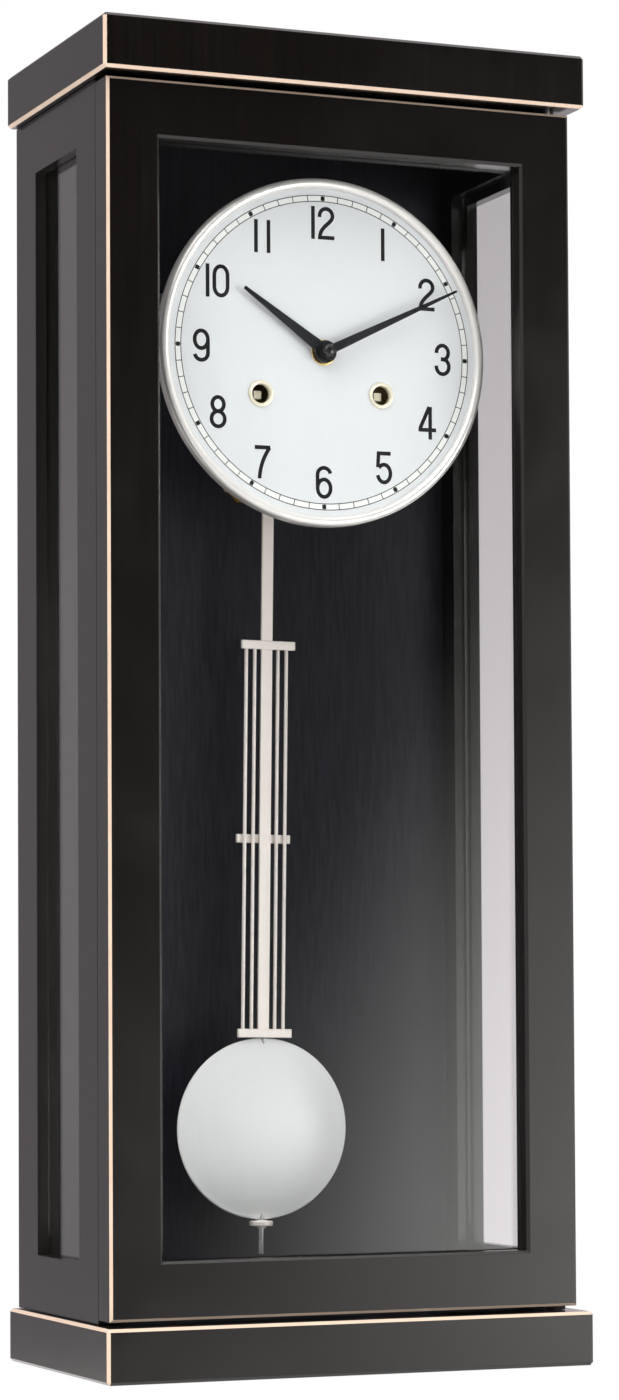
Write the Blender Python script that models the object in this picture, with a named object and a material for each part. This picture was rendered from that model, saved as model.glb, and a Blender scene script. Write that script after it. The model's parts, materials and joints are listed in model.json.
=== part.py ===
"""Pendulum wall clock: a black glazed case, a striking movement and a gridiron pendulum.

Lengths are written in millimetres and scaled by MM as each mesh is made. X runs to the
viewer's right, Y into the wall (the wall is the plane y = 0) and heights run up from the
underside of the plinth. An empty lowers the whole clock, so that the world origin lies
at the hanger on the wall plane.
"""

import math

import bmesh
import bpy
from mathutils import Matrix, Vector

MM = 0.001
GAP = 0.3  # left between pieces that rest on each other

# Case
CLOCK_HEIGHT = 680.0
CLOCK_WIDTH = 265.0
CLOCK_DEPTH = 155.0
BLOCK_HEIGHT = 27.7  # cornice and plinth
BLOCK_CHAMFER = 1.6
HANGER_HEIGHT = 612.0
BODY_HALF = 127.7
SIDE_THICKNESS = 14.5
DOOR_FRONT = -145.4
DOOR_BACK = -127.8
CARCASS_FRONT = -127.3
DOOR_GAP_TOP = 1.9
DOOR_GAP_BOTTOM = 2.4
DOOR_STILE = 28.2
DOOR_RAIL = 29.3
DOOR_CHAMFER = 1.4
WINDOW_FRONT = -98.3
WINDOW_REAR = -31.9
WINDOW_RAIL = 29.4
GLASS_THICKNESS = 2.0
GLASS_LAP = 5.0
SIDE_REVEAL = 6.0
BACK_PANEL = (-13.5, -3.0)
HANGER_HOLE_RADIUS = 5.0
HANGER_POCKET_FLOOR = -9.0
HINGE_X = 119.5
HINGE_Y = -136.6
HINGE_PIN_RADIUS = 1.6
HINGE_BORE_RADIUS = 1.9
HINGE_PIN_DEPTH = 9.0
CATCH_FRONT = -120.0

# Dial
DIAL_HEIGHT = 522.5
DIAL_FRONT = -116.6
DIAL_RADIUS = 87.0
PAN_RADIUS = 88.6
BEZEL_INNER = 85.0
BEZEL_OUTER = 90.3
WINDING_STRIKE = (-34.8, -23.1)
WINDING_TIME = (32.2, -20.7)
WINDING_HOLE_RADIUS = 5.8
MINUTE_ANGLE = 64.1
HOUR_ANGLE = 304.5
MINUTE_LENGTH = 81.2
HOUR_LENGTH = 54.3

# Movement
FRONT_PLATE = (-103.0, -101.2)
BACK_PLATE = (-58.8, -57.0)
GREAT_MODULE = 0.9
GREAT_TEETH = 52
INTERMEDIATE_TEETH = 48
PINION_LEAVES = 8
CENTRE_MODULE = 0.66
CENTRE_TEETH = 60
THIRD_MODULE = 0.565
THIRD_TEETH = 60
ESCAPE_LEAVES = 6
ESCAPE_TEETH = 36
ESCAPE_RADIUS = 13.4
ESCAPE_AT = (0.0, 26.0)
STRIKE_MODULE = 0.6
STRIKE_TEETH = 48
PIN_WHEEL_BEARING = 101.1
FLY_BEARING = 96.8
MOTION_MODULE = 0.5
CANNON_TEETH = 12
MINUTE_WHEEL_TEETH = 36
MOTION_PINION_LEAVES = 10
HOUR_TEETH = 40
HOUR_MODULE = 0.48
HAMMER_AT = (-52.0, 16.5)
BELL_AT = (-32.0, -10.0)
BELL_RADIUS = 22.0
PALLET_CLEARANCE = 1.8
DRUM_RADIUS = 21.8
ARBOR_RADIUS = 1.2
PIVOT_RADIUS = 0.8
PILLARS_AT = ((-30, -64), (30, -64), (-44, 40), (44, 40))

# Each wheel, pinion and arbor runs from one depth to another along Y
SPAN = {
    "arbor": (-100.8, -59.2),
    "pivots": (-102.4, -57.6),
    "centre_nose": (-126.2, -100.0),
    "centre_tail": (-60.0, -57.4),
    "centre_wheel": (-66.5, -65.2),
    "centre_pinion": (-73.0, -68.6),
    "intermediate_wheel": (-71.6, -70.2),
    "intermediate_pinion": (-79.0, -74.0),
    "third_wheel": (-86.0, -84.8),
    "third_pinion": (-68.0, -63.8),
    "escape_wheel": (-92.0, -90.9),
    "escape_pinion": (-87.5, -83.4),
    "pallets": (-92.4, -90.4),
    "great_wheel": (-77.4, -75.4),
    "spring_drum": (-97.0, -76.4),
    "pin_wheel": (-70.6, -69.3),
    "pin_wheel_pinion": (-79.0, -73.6),
    "lifting_pins": (-69.8, -66.8),
    "fly_pinion": (-72.4, -67.6),
    "fly_vane": (-94.0, -79.0),
    "winding_arbor": (-104.0, -59.3),
    "winding_square": (-112.0, -103.5),
    "winding_tail": (-60.0, -57.3),
    "cannon_leaves": (-106.0, -104.0),
    "cannon_pipe": (-123.0, -104.4),
    "minute_wheel": (-105.6, -104.6),
    "minute_pinion": (-110.0, -105.0),
    "hour_wheel": (-108.8, -107.6),
    "hour_pipe": (-120.9, -108.0),
    "hour_hand": (-120.4, -119.6),
    "minute_hand": (-122.8, -122.0),
}

# Pendulum, modelled plumb and then leaned about its pivot
PIVOT_ABOVE_DIAL = 48.5
PENDULUM_Y = -42.0
PENDULUM_LEAN = 0.85
BAR_HALF_WIDTH = 3.1
GRID_HALF_WIDTH = 15.2
GRID_BAR_HEIGHT = 4.6
GRID_HEIGHTS = {"bottom": 171.2, "middle": 274.2, "top": 377.0}
GRID_ROD_OFFSETS = (-11.4, -6.6, 6.6, 11.4)
GRID_ROD_RADIUS = 1.0
BOB_HEIGHT = 120.9
BOB_RADIUS = 47.8
BOB_HALF_THICKNESS = 7.0
SCREW_RADIUS = 1.5
SCREW_BOTTOM = 55.0

CORNICE_BOTTOM = CLOCK_HEIGHT - BLOCK_HEIGHT
SIDE_BOTTOM = BLOCK_HEIGHT + GAP
SIDE_TOP = CORNICE_BOTTOM - GAP
DOOR_BOTTOM = BLOCK_HEIGHT + DOOR_GAP_BOTTOM
DOOR_TOP = CORNICE_BOTTOM - DOOR_GAP_TOP

FINISHES = {
    "black_lacquer": ((0.012, 0.011, 0.010), 0.35, 0.0),
    "glass": ((0.9, 0.95, 0.93), 0.03, 0.0),
    "brass": ((0.70, 0.52, 0.22), 0.3, 1.0),
    "steel": ((0.55, 0.55, 0.56), 0.3, 1.0),
    "blued_black": ((0.01, 0.01, 0.012), 0.35, 0.2),
    "dial_silver": ((0.78, 0.80, 0.82), 0.45, 0.0),
    "bezel_chrome": ((0.86, 0.82, 0.80), 0.12, 1.0),
    "nickel": ((0.80, 0.77, 0.73), 0.25, 1.0),
    "rubber": ((0.02, 0.02, 0.02), 0.8, 0.0),
}


# ---------------------------------------------------------------- shared makers


def clear_scene():
    for obj in list(bpy.data.objects):
        bpy.data.objects.remove(obj, do_unlink=True)


def make_finishes():
    made = {}
    for name, (colour, roughness, metallic) in FINISHES.items():
        material = bpy.data.materials.new(name)
        material.use_nodes = True
        shader = material.node_tree.nodes["Principled BSDF"]
        shader.inputs["Base Color"].default_value = (*colour, 1.0)
        shader.inputs["Roughness"].default_value = roughness
        shader.inputs["Metallic"].default_value = metallic
        made[name] = material
    return made


def add_axis(name, x, y, z, parent=None):
    """An empty on a joint's axis, or on the frame's origin."""
    axis = bpy.data.objects.new(name, None)
    bpy.context.scene.collection.objects.link(axis)
    axis.parent = parent
    axis.location = Vector((x, y, z)) * MM
    return axis


def mesh_object(name, shape, axis):
    """Turns a shape in clock millimetres into an object whose origin is on its axis."""
    centre = Vector(axis["centre_mm"]) if "centre_mm" in axis else Vector()
    bmesh.ops.translate(shape, verts=shape.verts, vec=-centre)
    bmesh.ops.scale(shape, verts=shape.verts, vec=(MM, MM, MM))
    bmesh.ops.recalc_face_normals(shape, faces=shape.faces)
    mesh = bpy.data.meshes.new(name)
    shape.to_mesh(mesh)
    shape.free()
    obj = bpy.data.objects.new(name, mesh)
    bpy.context.scene.collection.objects.link(obj)
    obj.parent = axis
    return obj


def piece(name, finish, axis, shape, joined=(), cut=()):
    """One named solid: a shape, with others joined to it and cut from it."""
    obj = mesh_object(name, shape, axis)
    obj.data.materials.append(FINISH[finish])
    for operation, tools in (("UNION", joined), ("DIFFERENCE", cut)):
        for number, tool in enumerate(tools):
            helper = mesh_object(f"{name}_{operation.lower()}_{number}", tool, axis)
            helper.hide_render = True
            helper.display_type = "WIRE"
            boolean = obj.modifiers.new(f"{operation.lower()} {number}", "BOOLEAN")
            boolean.operation = operation
            boolean.object = helper
    if len(obj.data.polygons) > 40:
        obj.data.shade_smooth()
        obj.data.set_sharp_from_angle(angle=math.radians(35))
    return obj


def block(x0, x1, y0, y1, z0, z1):
    shape = bmesh.new()
    bmesh.ops.create_cube(shape, size=1.0)
    bmesh.ops.scale(shape, verts=shape.verts, vec=(x1 - x0, y1 - y0, z1 - z0))
    middle = Vector((x0 + x1, y0 + y1, z0 + z1)) / 2
    bmesh.ops.translate(shape, verts=shape.verts, vec=middle)
    return shape


def along_an_axis(edge):
    run = edge.verts[1].co - edge.verts[0].co
    return sum(abs(length) > 0.01 for length in run) == 1


def middle_of(edge):
    return (edge.verts[0].co + edge.verts[1].co) / 2


def chamfered(shape, width, chosen):
    """Chamfers the straight edges whose middle the test picks."""
    edges = [e for e in shape.edges if along_an_axis(e) and chosen(middle_of(e))]
    bmesh.ops.bevel(shape, geom=edges, offset=width, segments=1, affect="EDGES")
    return shape


def prism(outline, y0, y1):
    """An outline of (x, z) points, extruded from y0 to y1."""
    shape = bmesh.new()
    near = [shape.verts.new((x, y0, z)) for x, z in outline]
    far = [shape.verts.new((x, y1, z)) for x, z in outline]
    shape.faces.new(near)
    shape.faces.new(far)
    for i in range(len(outline)):
        j = (i + 1) % len(outline)
        shape.faces.new((near[i], near[j], far[j], far[i]))
    return shape


def circle_points(x, z, radius, sides, phase=0.0):
    turn = 2 * math.pi / sides
    return [
        (x + radius * math.cos(phase + i * turn), z + radius * math.sin(phase + i * turn))
        for i in range(sides)
    ]


def rod(at, radius, y0, y1, sides=12):
    """A round rod along Y, at (x, z)."""
    return prism(circle_points(at[0], at[1], radius, sides), y0, y1)


def upright_rod(x, y, radius, z0, z1, sides=12):
    """A round rod along Z."""
    shape = prism(circle_points(0.0, 0.0, radius, sides), z0, z1)
    turn = Matrix.Rotation(math.radians(90), 4, "X")
    bmesh.ops.transform(shape, matrix=Matrix.Translation((x, y, 0)) @ turn, verts=shape.verts)
    return shape


def turned(profile, at, steps, closed):
    """A profile of (radius, y) points turned about a Y axis through (x, z)."""
    shape = bmesh.new()
    rings = []
    for radius, y in profile:
        if radius == 0:
            rings.append([shape.verts.new((at[0], y, at[1]))])
        else:
            ring = circle_points(at[0], at[1], radius, steps)
            rings.append([shape.verts.new((x, y, z)) for x, z in ring])
    last = len(rings) if closed else len(rings) - 1
    for i in range(last):
        a, b = rings[i], rings[(i + 1) % len(rings)]
        for k in range(steps):
            n = (k + 1) % steps
            corners = [a[k % len(a)], a[n % len(a)], b[n % len(b)], b[k % len(b)]]
            shape.faces.new(list(dict.fromkeys(corners)))
    return shape


def turned_upright(profile, x, y, steps):
    """A closed profile of (radius, height) points turned about a Z axis."""
    shape = turned(profile, (0.0, 0.0), steps, closed=True)
    turn = Matrix.Rotation(math.radians(90), 4, "X")
    bmesh.ops.transform(shape, matrix=Matrix.Translation((x, y, 0)) @ turn, verts=shape.verts)
    return shape


def gear(teeth, module, at, span, bearing):
    """A wheel with pointed teeth, one of them towards the bearing in radians."""
    pitch = 2 * math.pi / teeth
    root = module * (teeth / 2 - 1.15)
    tip = module * (teeth / 2 + 0.9)
    outline = []
    for tooth in range(teeth):
        angle = bearing + tooth * pitch
        for radius, shift in ((root, -0.27), (tip, 0.0), (root, 0.27)):
            x = at[0] + radius * math.cos(angle + shift * pitch)
            z = at[1] + radius * math.sin(angle + shift * pitch)
            outline.append((x, z))
    return prism(outline, *span)


def meshing(wheel_at, pinion_at, leaves):
    """Bearings that put a wheel's tooth into a pinion's space, on their line of centres."""
    line = math.atan2(pinion_at[1] - wheel_at[1], pinion_at[0] - wheel_at[0])
    return line, line + math.pi + math.pi / leaves


def on_bearing(at, distance, degrees):
    angle = math.radians(degrees)
    return at[0] + distance * math.cos(angle), at[1] + distance * math.sin(angle)


def meeting_point(p, reach_p, q, reach_q, side):
    """Where circles about p and q cross, on the chosen side of the line from p to q."""
    apart = math.dist(p, q)
    ux, uz = (q[0] - p[0]) / apart, (q[1] - p[1]) / apart
    along = (reach_p**2 - reach_q**2 + apart**2) / (2 * apart)
    off = side * math.sqrt(reach_p**2 - along**2)
    return p[0] + along * ux - off * uz, p[1] + along * uz + off * ux


def from_dial(at):
    return at[0], DIAL_HEIGHT + at[1]


def joint_axis(name, at, y, parent):
    """An empty at (x, z) and depth y. It keeps its own place for mesh_object."""
    axis = add_axis(name, at[0], y, at[1], parent)
    axis["centre_mm"] = (at[0], y, at[1])
    return axis


# ---------------------------------------------------------------- case and door


def rectangle_loft(loops):
    """Joins rectangles (x0, x1, z0, z1, y) in a ring, each to the next, into a frame."""
    shape = bmesh.new()
    rings = []
    for x0, x1, z0, z1, y in loops:
        corners = ((x0, z0), (x1, z0), (x1, z1), (x0, z1))
        rings.append([shape.verts.new((x, y, z)) for x, z in corners])
    for a, b in zip(rings, rings[1:] + rings[:1]):
        for i in range(4):
            j = (i + 1) % 4
            shape.faces.new((a[i], a[j], b[j], b[i]))
    return shape


def grown(box, by):
    x0, x1, z0, z1 = box
    return x0 - by, x1 + by, z0 - by, z1 + by


def turned_to_side(shape):
    """Swaps X and Y, so that a frame made facing Y faces X."""
    for vert in shape.verts:
        vert.co.x, vert.co.y = vert.co.y, vert.co.x
    return shape


def build_blocks(clock):
    """The cornice and the plinth, with chamfered edges and the hinge pins' holes."""
    half = CLOCK_WIDTH / 2
    for name, z0, z1, hole in (
        ("cornice", CORNICE_BOTTOM, CLOCK_HEIGHT, (CORNICE_BOTTOM - 1, CORNICE_BOTTOM + 10)),
        ("plinth", 0.0, BLOCK_HEIGHT, (BLOCK_HEIGHT - 10, BLOCK_HEIGHT + 1)),
    ):
        shape = block(-half, half, -CLOCK_DEPTH, 0.0, z0, z1)
        chamfered(shape, BLOCK_CHAMFER, lambda middle: middle.y < -1.0)
        bore = upright_rod(HINGE_X, HINGE_Y, HINGE_BORE_RADIUS, *hole)
        piece(name, "black_lacquer", clock, shape, cut=[bore])


def build_sides(clock):
    """Each side is a frame of two stiles and two rails, rebated inside for its glass."""
    outer = (CARCASS_FRONT, 0.0, SIDE_BOTTOM, SIDE_TOP)
    bottom = BLOCK_HEIGHT + WINDOW_RAIL
    top = CORNICE_BOTTOM - WINDOW_RAIL
    window = (WINDOW_FRONT, WINDOW_REAR, bottom, top)
    rebate = grown(window, GLASS_LAP)
    glass = grown(rebate, -GAP)
    for name, side in (("left_side", -1), ("right_side", 1)):
        outside = side * BODY_HALF
        step = side * (BODY_HALF - SIDE_REVEAL)
        inside = side * (BODY_HALF - SIDE_THICKNESS)
        loops = [
            (*outer, outside),
            (*outer, inside),
            (*rebate, inside),
            (*rebate, step),
            (*window, step),
            (*window, outside),
        ]
        panel = turned_to_side(rectangle_loft(loops))
        piece(name + "_panel", "black_lacquer", clock, panel)
        near = step - side * GAP
        far = near - side * GLASS_THICKNESS
        pane = block(min(near, far), max(near, far), *glass)
        piece(name + "_glass", "glass", clock, pane)


def build_back(clock):
    inner = BODY_HALF - SIDE_THICKNESS - GAP
    board = block(-inner, inner, *BACK_PANEL, SIDE_BOTTOM, SIDE_TOP)
    pocket = block(-7.0, 7.0, HANGER_POCKET_FLOOR, 1.0, HANGER_HEIGHT - 11, HANGER_HEIGHT + 8)
    piece("back_panel", "black_lacquer", clock, board, cut=[pocket])

    plate = block(-22, 22, BACK_PANEL[1] + GAP, -0.7, HANGER_HEIGHT - 16, HANGER_HEIGHT + 16)
    chamfered(plate, 5.0, lambda middle: abs(middle.x) > 21 and abs(middle.z - HANGER_HEIGHT) > 15)
    keyhole = rod((0.0, HANGER_HEIGHT - 5), HANGER_HOLE_RADIUS, -4.0, 1.0, 16)
    neck = block(-2.4, 2.4, -4.0, 1.0, HANGER_HEIGHT - 3, HANGER_HEIGHT + 7)
    piece("hanger_plate", "steel", clock, plate, cut=[keyhole, neck])

    for name, x in (("wall_spacer_left", -95.0), ("wall_spacer_right", 95.0)):
        pad = rod((x, 60.0), 7.0, BACK_PANEL[1] + GAP, -0.1, 20)
        piece(name, "rubber", clock, pad)


def build_hinges(clock):
    for name, z0, z1 in (
        ("hinge_pin_top", DOOR_TOP - HINGE_PIN_DEPTH + 1, CORNICE_BOTTOM + 9.5),
        ("hinge_pin_bottom", BLOCK_HEIGHT - 9.5, DOOR_BOTTOM + HINGE_PIN_DEPTH - 1),
    ):
        pin = upright_rod(HINGE_X, HINGE_Y, HINGE_PIN_RADIUS, z0, z1)
        piece(name, "steel", clock, pin)
    low, high = BLOCK_HEIGHT + GAP, DOOR_BOTTOM - GAP
    profile = [(2.0, high), (5.0, high), (5.0, low), (2.0, low)]
    washer = turned_upright(profile, HINGE_X, HINGE_Y, 20)
    piece("hinge_washer", "brass", clock, washer)


def build_door(clock):
    """The door turns on two pins inside its right stile, whose back edge is rounded for it."""
    hinge = joint_axis("door_axis", (HINGE_X, DOOR_BOTTOM), HINGE_Y, clock)
    outer = (-BODY_HALF, BODY_HALF, DOOR_BOTTOM, DOOR_TOP)
    opening = (
        DOOR_STILE - BODY_HALF,
        BODY_HALF - DOOR_STILE,
        DOOR_BOTTOM + DOOR_RAIL,
        DOOR_TOP - DOOR_RAIL,
    )
    rebate = grown(opening, GLASS_LAP + 1.0)
    rebate_front = DOOR_FRONT + 9.0
    shape = rectangle_loft(
        [
            (*grown(outer, -DOOR_CHAMFER), DOOR_FRONT),
            (*outer, DOOR_FRONT + DOOR_CHAMFER),
            (*outer, DOOR_BACK),
            (*rebate, DOOR_BACK),
            (*rebate, rebate_front),
            (*opening, rebate_front),
            (*opening, DOOR_FRONT + DOOR_CHAMFER),
            (*grown(opening, DOOR_CHAMFER), DOOR_FRONT),
        ]
    )
    heel = BODY_HALF - HINGE_X
    back_corner = Vector((BODY_HALF, DOOR_BACK))
    corner = [e for e in shape.edges if (middle_of(e).xy - back_corner).length < 0.01]
    bmesh.ops.bevel(shape, geom=corner, offset=heel, segments=5, profile=0.5, affect="EDGES")
    bores = [
        upright_rod(HINGE_X, HINGE_Y, HINGE_BORE_RADIUS, a, b)
        for a, b in (
            (DOOR_TOP - HINGE_PIN_DEPTH, DOOR_TOP + 1),
            (DOOR_BOTTOM - 1, DOOR_BOTTOM + HINGE_PIN_DEPTH),
        )
    ]
    piece("door_frame", "black_lacquer", hinge, shape, cut=bores)

    glass = grown(rebate, -GAP)
    front = rebate_front + GAP
    x0, x1, z0, z1 = glass
    pane = block(x0, x1, front, front + GLASS_THICKNESS, z0, z1)
    piece("door_glass", "glass", hinge, pane)
    bead_front = front + GLASS_THICKNESS + GAP
    sight = grown(opening, 0.5)
    bead_back = bead_front + 3.0
    bead = rectangle_loft(
        [(*glass, bead_front), (*glass, bead_back), (*sight, bead_back), (*sight, bead_front)]
    )
    piece("glass_retainer", "black_lacquer", hinge, bead)

    catch_x = -BODY_HALF + 19.5
    catch_z = (DOOR_BOTTOM + DOOR_TOP) / 2
    strike_y = CATCH_FRONT - GAP
    strike = block(catch_x - 3.5, catch_x + 3.5, strike_y - 1.2, strike_y, catch_z - 9, catch_z + 9)
    tongue_y = (DOOR_BACK + GAP, strike_y - 0.6)
    tongue = block(catch_x - 1.5, catch_x + 1.5, *tongue_y, catch_z - 6, catch_z + 6)
    piece("catch_strike", "steel", hinge, strike, joined=[tongue])
    inner = -BODY_HALF + SIDE_THICKNESS + GAP
    magnet = block(inner, catch_x + 5, CATCH_FRONT, CATCH_FRONT + 14, catch_z - 11, catch_z + 11)
    chamfered(magnet, 1.0, lambda middle: middle.x > catch_x + 4)
    piece("catch_magnet", "rubber", clock, magnet)


# ---------------------------------------------------------------- dial and hands


def build_dial(clock):
    centre = (0.0, DIAL_HEIGHT)
    disc = rod(centre, DIAL_RADIUS, DIAL_FRONT, DIAL_FRONT + 1.0, 72)
    pan_front = DIAL_FRONT + 1.0 + GAP
    pan = rod(centre, PAN_RADIUS, pan_front, pan_front + 1.2, 48)
    feet = []
    for x, z in ((-44, 40), (44, 40), (-30, -60), (30, -60)):
        foot_at = from_dial((x, z))
        feet.append(rod(foot_at, 1.8, pan_front + 0.6, FRONT_PLATE[0] - GAP, 10))
    dial_holes = [rod(centre, 4.4, -125, -105, 20)]
    pan_holes = [rod(centre, 5.0, -125, -105, 16)]
    for at in (WINDING_STRIKE, WINDING_TIME):
        dial_holes.append(rod(from_dial(at), WINDING_HOLE_RADIUS + 0.8, -125, -105, 24))
        pan_holes.append(rod(from_dial(at), WINDING_HOLE_RADIUS + 1.4, -125, -105, 16))
    piece("dial_plate", "dial_silver", clock, disc, cut=dial_holes)
    piece("dial_pan", "steel", clock, pan, joined=feet, cut=pan_holes)

    lip = DIAL_FRONT - GAP
    profile = [
        (BEZEL_INNER, lip),
        (BEZEL_INNER + 0.5, lip - 1.6),
        (BEZEL_INNER + 2.6, lip - 2.6),
        (BEZEL_OUTER - 1.0, lip - 1.7),
        (BEZEL_OUTER, lip + 0.4),
        (BEZEL_OUTER, lip + 4.2),
        (PAN_RADIUS + 0.7, lip + 4.2),
        (PAN_RADIUS + 0.7, lip),
    ]
    piece("dial_bezel", "bezel_chrome", clock, turned(profile, centre, 54, closed=True))

    front = DIAL_FRONT - GAP
    for name, at in (("winding_ring_left", WINDING_STRIKE), ("winding_ring_right", WINDING_TIME)):
        r = WINDING_HOLE_RADIUS
        profile = [
            (r, front - 0.7),
            (r + 1.1, front - 0.5),
            (r + 1.1, front),
            (r + 0.45, front),
            (r + 0.45, front + 2.4),
            (r, front + 2.4),
        ]
        piece(name, "brass", clock, turned(profile, from_dial(at), 20, closed=True))


def build_hand(name, axis, angle, length, root_width, tip_width, boss_radius, bore_radius):
    """A tapered stick with a round boss, turned clockwise from twelve, and its bore."""
    at = (0.0, DIAL_HEIGHT)
    y0, y1 = SPAN[name]
    outline = [
        (-root_width / 2, -1.0),
        (root_width / 2, -1.0),
        (tip_width / 2, length),
        (-tip_width / 2, length),
    ]
    stick = prism(outline, y0, y1)
    turn = Matrix.Rotation(math.radians(angle), 4, "Y")
    place = Matrix.Translation((at[0], 0, at[1]))
    bmesh.ops.transform(stick, matrix=place @ turn, verts=stick.verts)
    boss = rod(at, boss_radius, y0 - 0.2, y1 + 0.2, 24)
    bore = rod(at, bore_radius, y0 - 2, y1 + 2, 16)
    piece(name, "blued_black", axis, stick, joined=[boss], cut=[bore])


def build_hands(minute_axis, hour_axis):
    build_hand("minute_hand", minute_axis, MINUTE_ANGLE, MINUTE_LENGTH, 5.0, 1.3, 4.4, 2.2)
    build_hand("hour_hand", hour_axis, HOUR_ANGLE, HOUR_LENGTH, 6.8, 1.8, 5.9, 3.2)
    centre = (0.0, DIAL_HEIGHT)
    profile = [(1.3, -125.6), (2.2, -125.6), (3.3, -124.8), (3.3, -123.3), (1.3, -123.3)]
    piece("hand_nut", "blued_black", minute_axis, turned(profile, centre, 18, closed=True))


# ---------------------------------------------------------------- movement


def plate_outline():
    half = [(26, -72), (56, -40), (56, 34), (34, 62)]
    points = half + [(-x, z) for x, z in reversed(half)]
    return [from_dial(p) for p in points]


def build_plates(clock, arbors):
    """Front and back plates with their pivot holes. The pillars belong to the back plate."""
    front_holes = []
    back_holes = []
    for at, front, back in arbors:
        if front:
            front_holes.append(rod(from_dial(at), front, -110, -95, 12))
        if back:
            back_holes.append(rod(from_dial(at), back, -65, -50, 12))
    front = prism(plate_outline(), *FRONT_PLATE)
    studs = [rod(from_dial(MINUTE_WHEEL_AT), 1.0, -110.6, FRONT_PLATE[0] + 0.5, 10)]
    piece("movement_front_plate", "brass", clock, front, joined=studs, cut=front_holes)
    back = prism(plate_outline(), *BACK_PLATE)
    inner = FRONT_PLATE[1] + GAP
    pillars = [rod(from_dial(at), 2.6, inner, BACK_PLATE[0] + 0.5, 10) for at in PILLARS_AT]
    piece("movement_back_plate", "brass", clock, back, joined=pillars, cut=back_holes)


def build_brackets(clock):
    """Z-shaped irons that carry the movement's back plate off the back panel."""
    y_rear = BACK_PANEL[0] - GAP
    y_front = BACK_PLATE[1] + GAP
    for name, side in (("movement_bracket_left", -1), ("movement_bracket_right", 1)):
        z0, z1 = DIAL_HEIGHT + 24, DIAL_HEIGHT + 44
        arm = [(38.0, 41.0), (y_front, y_rear)]
        rear_foot = [(38.0, 54.0), (y_rear - 2.5, y_rear)]
        front_foot = [(28.0, 41.0), (y_front, y_front + 2.5)]
        shapes = []
        for (x0, x1), (y0, y1) in (arm, rear_foot, front_foot):
            low, high = sorted((side * x0, side * x1))
            shapes.append(block(low, high, y0, y1, z0, z1))
        piece(name, "steel", clock, shapes[0], joined=shapes[1:])


def arbor(at, radius, span):
    return rod(from_dial(at), radius, *SPAN[span], 8)


def build_centre(axis):
    wheel_bearing, _ = meshing(CENTRE_AT, THIRD_AT, PINION_LEAVES)
    _, pinion_bearing = meshing(INTERMEDIATE_AT, CENTRE_AT, PINION_LEAVES)
    at = from_dial(CENTRE_AT)
    wheel = gear(CENTRE_TEETH, CENTRE_MODULE, at, SPAN["centre_wheel"], wheel_bearing)
    pinion = gear(PINION_LEAVES, GREAT_MODULE, at, SPAN["centre_pinion"], pinion_bearing)
    stem = arbor(CENTRE_AT, 2.0, "arbor")
    nose = arbor(CENTRE_AT, 1.0, "centre_nose")
    tail = arbor(CENTRE_AT, 1.0, "centre_tail")
    piece("centre_wheel", "brass", axis, wheel, joined=[pinion, stem, nose, tail])


def build_motion_work(minute_axis, hour_axis, wheel_axis):
    centre = from_dial(CENTRE_AT)
    beside = from_dial(MINUTE_WHEEL_AT)
    cannon_bearing, wheel_bearing = meshing(CENTRE_AT, MINUTE_WHEEL_AT, MINUTE_WHEEL_TEETH)
    cannon = gear(CANNON_TEETH, MOTION_MODULE, centre, SPAN["cannon_leaves"], cannon_bearing)
    pipe = rod(centre, 1.9, *SPAN["cannon_pipe"], 14)
    bore = rod(centre, 1.35, -130, -100, 12)
    piece("cannon_pinion", "steel", minute_axis, cannon, joined=[pipe], cut=[bore])

    hour_bearing, pinion_bearing = meshing(CENTRE_AT, MINUTE_WHEEL_AT, MOTION_PINION_LEAVES)
    wheel = gear(MINUTE_WHEEL_TEETH, MOTION_MODULE, beside, SPAN["minute_wheel"], wheel_bearing)
    pinion = gear(
        MOTION_PINION_LEAVES, HOUR_MODULE, beside, SPAN["minute_pinion"], pinion_bearing
    )
    hole = rod(beside, 1.3, -112, -103, 10)
    piece("minute_wheel", "brass", wheel_axis, wheel, joined=[pinion], cut=[hole])

    wheel = gear(HOUR_TEETH, HOUR_MODULE, centre, SPAN["hour_wheel"], hour_bearing)
    pipe = rod(centre, 2.85, *SPAN["hour_pipe"], 16)
    bore = rod(centre, 2.3, -130, -100, 14)
    piece("hour_wheel", "brass", hour_axis, wheel, joined=[pipe], cut=[bore])


def build_barrel(name, at, pinion_at, axis):
    """A spring barrel with its great wheel, bored for its winding arbor."""
    bearing, _ = meshing(at, pinion_at, PINION_LEAVES)
    centre = from_dial(at)
    wheel = gear(GREAT_TEETH, GREAT_MODULE, centre, SPAN["great_wheel"], bearing)
    drum = rod(centre, DRUM_RADIUS, *SPAN["spring_drum"], 40)
    bore = rod(centre, 3.5, -100, -70, 12)
    piece(name, "brass", axis, wheel, joined=[drum], cut=[bore])


def build_winding_arbor(name, at, axis):
    """A winding square in front, and a round arbor through the barrel to the back plate."""
    centre = from_dial(at)
    stem = rod(centre, 3.0, *SPAN["winding_arbor"], 12)
    square = prism(circle_points(*centre, 2.9, 4, math.radians(45)), *SPAN["winding_square"])
    tail = rod(centre, 1.6, *SPAN["winding_tail"], 10)
    piece(name, "steel", axis, stem, joined=[square, tail])


def build_train_wheel(name, at, wheel, pinion, axis):
    """An arbor that carries one wheel and one pinion, each given as a gear shape."""
    stem = arbor(at, ARBOR_RADIUS, "arbor")
    pivots = arbor(at, PIVOT_RADIUS, "pivots")
    piece(name, "brass", axis, wheel, joined=[pinion, stem, pivots])


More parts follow.
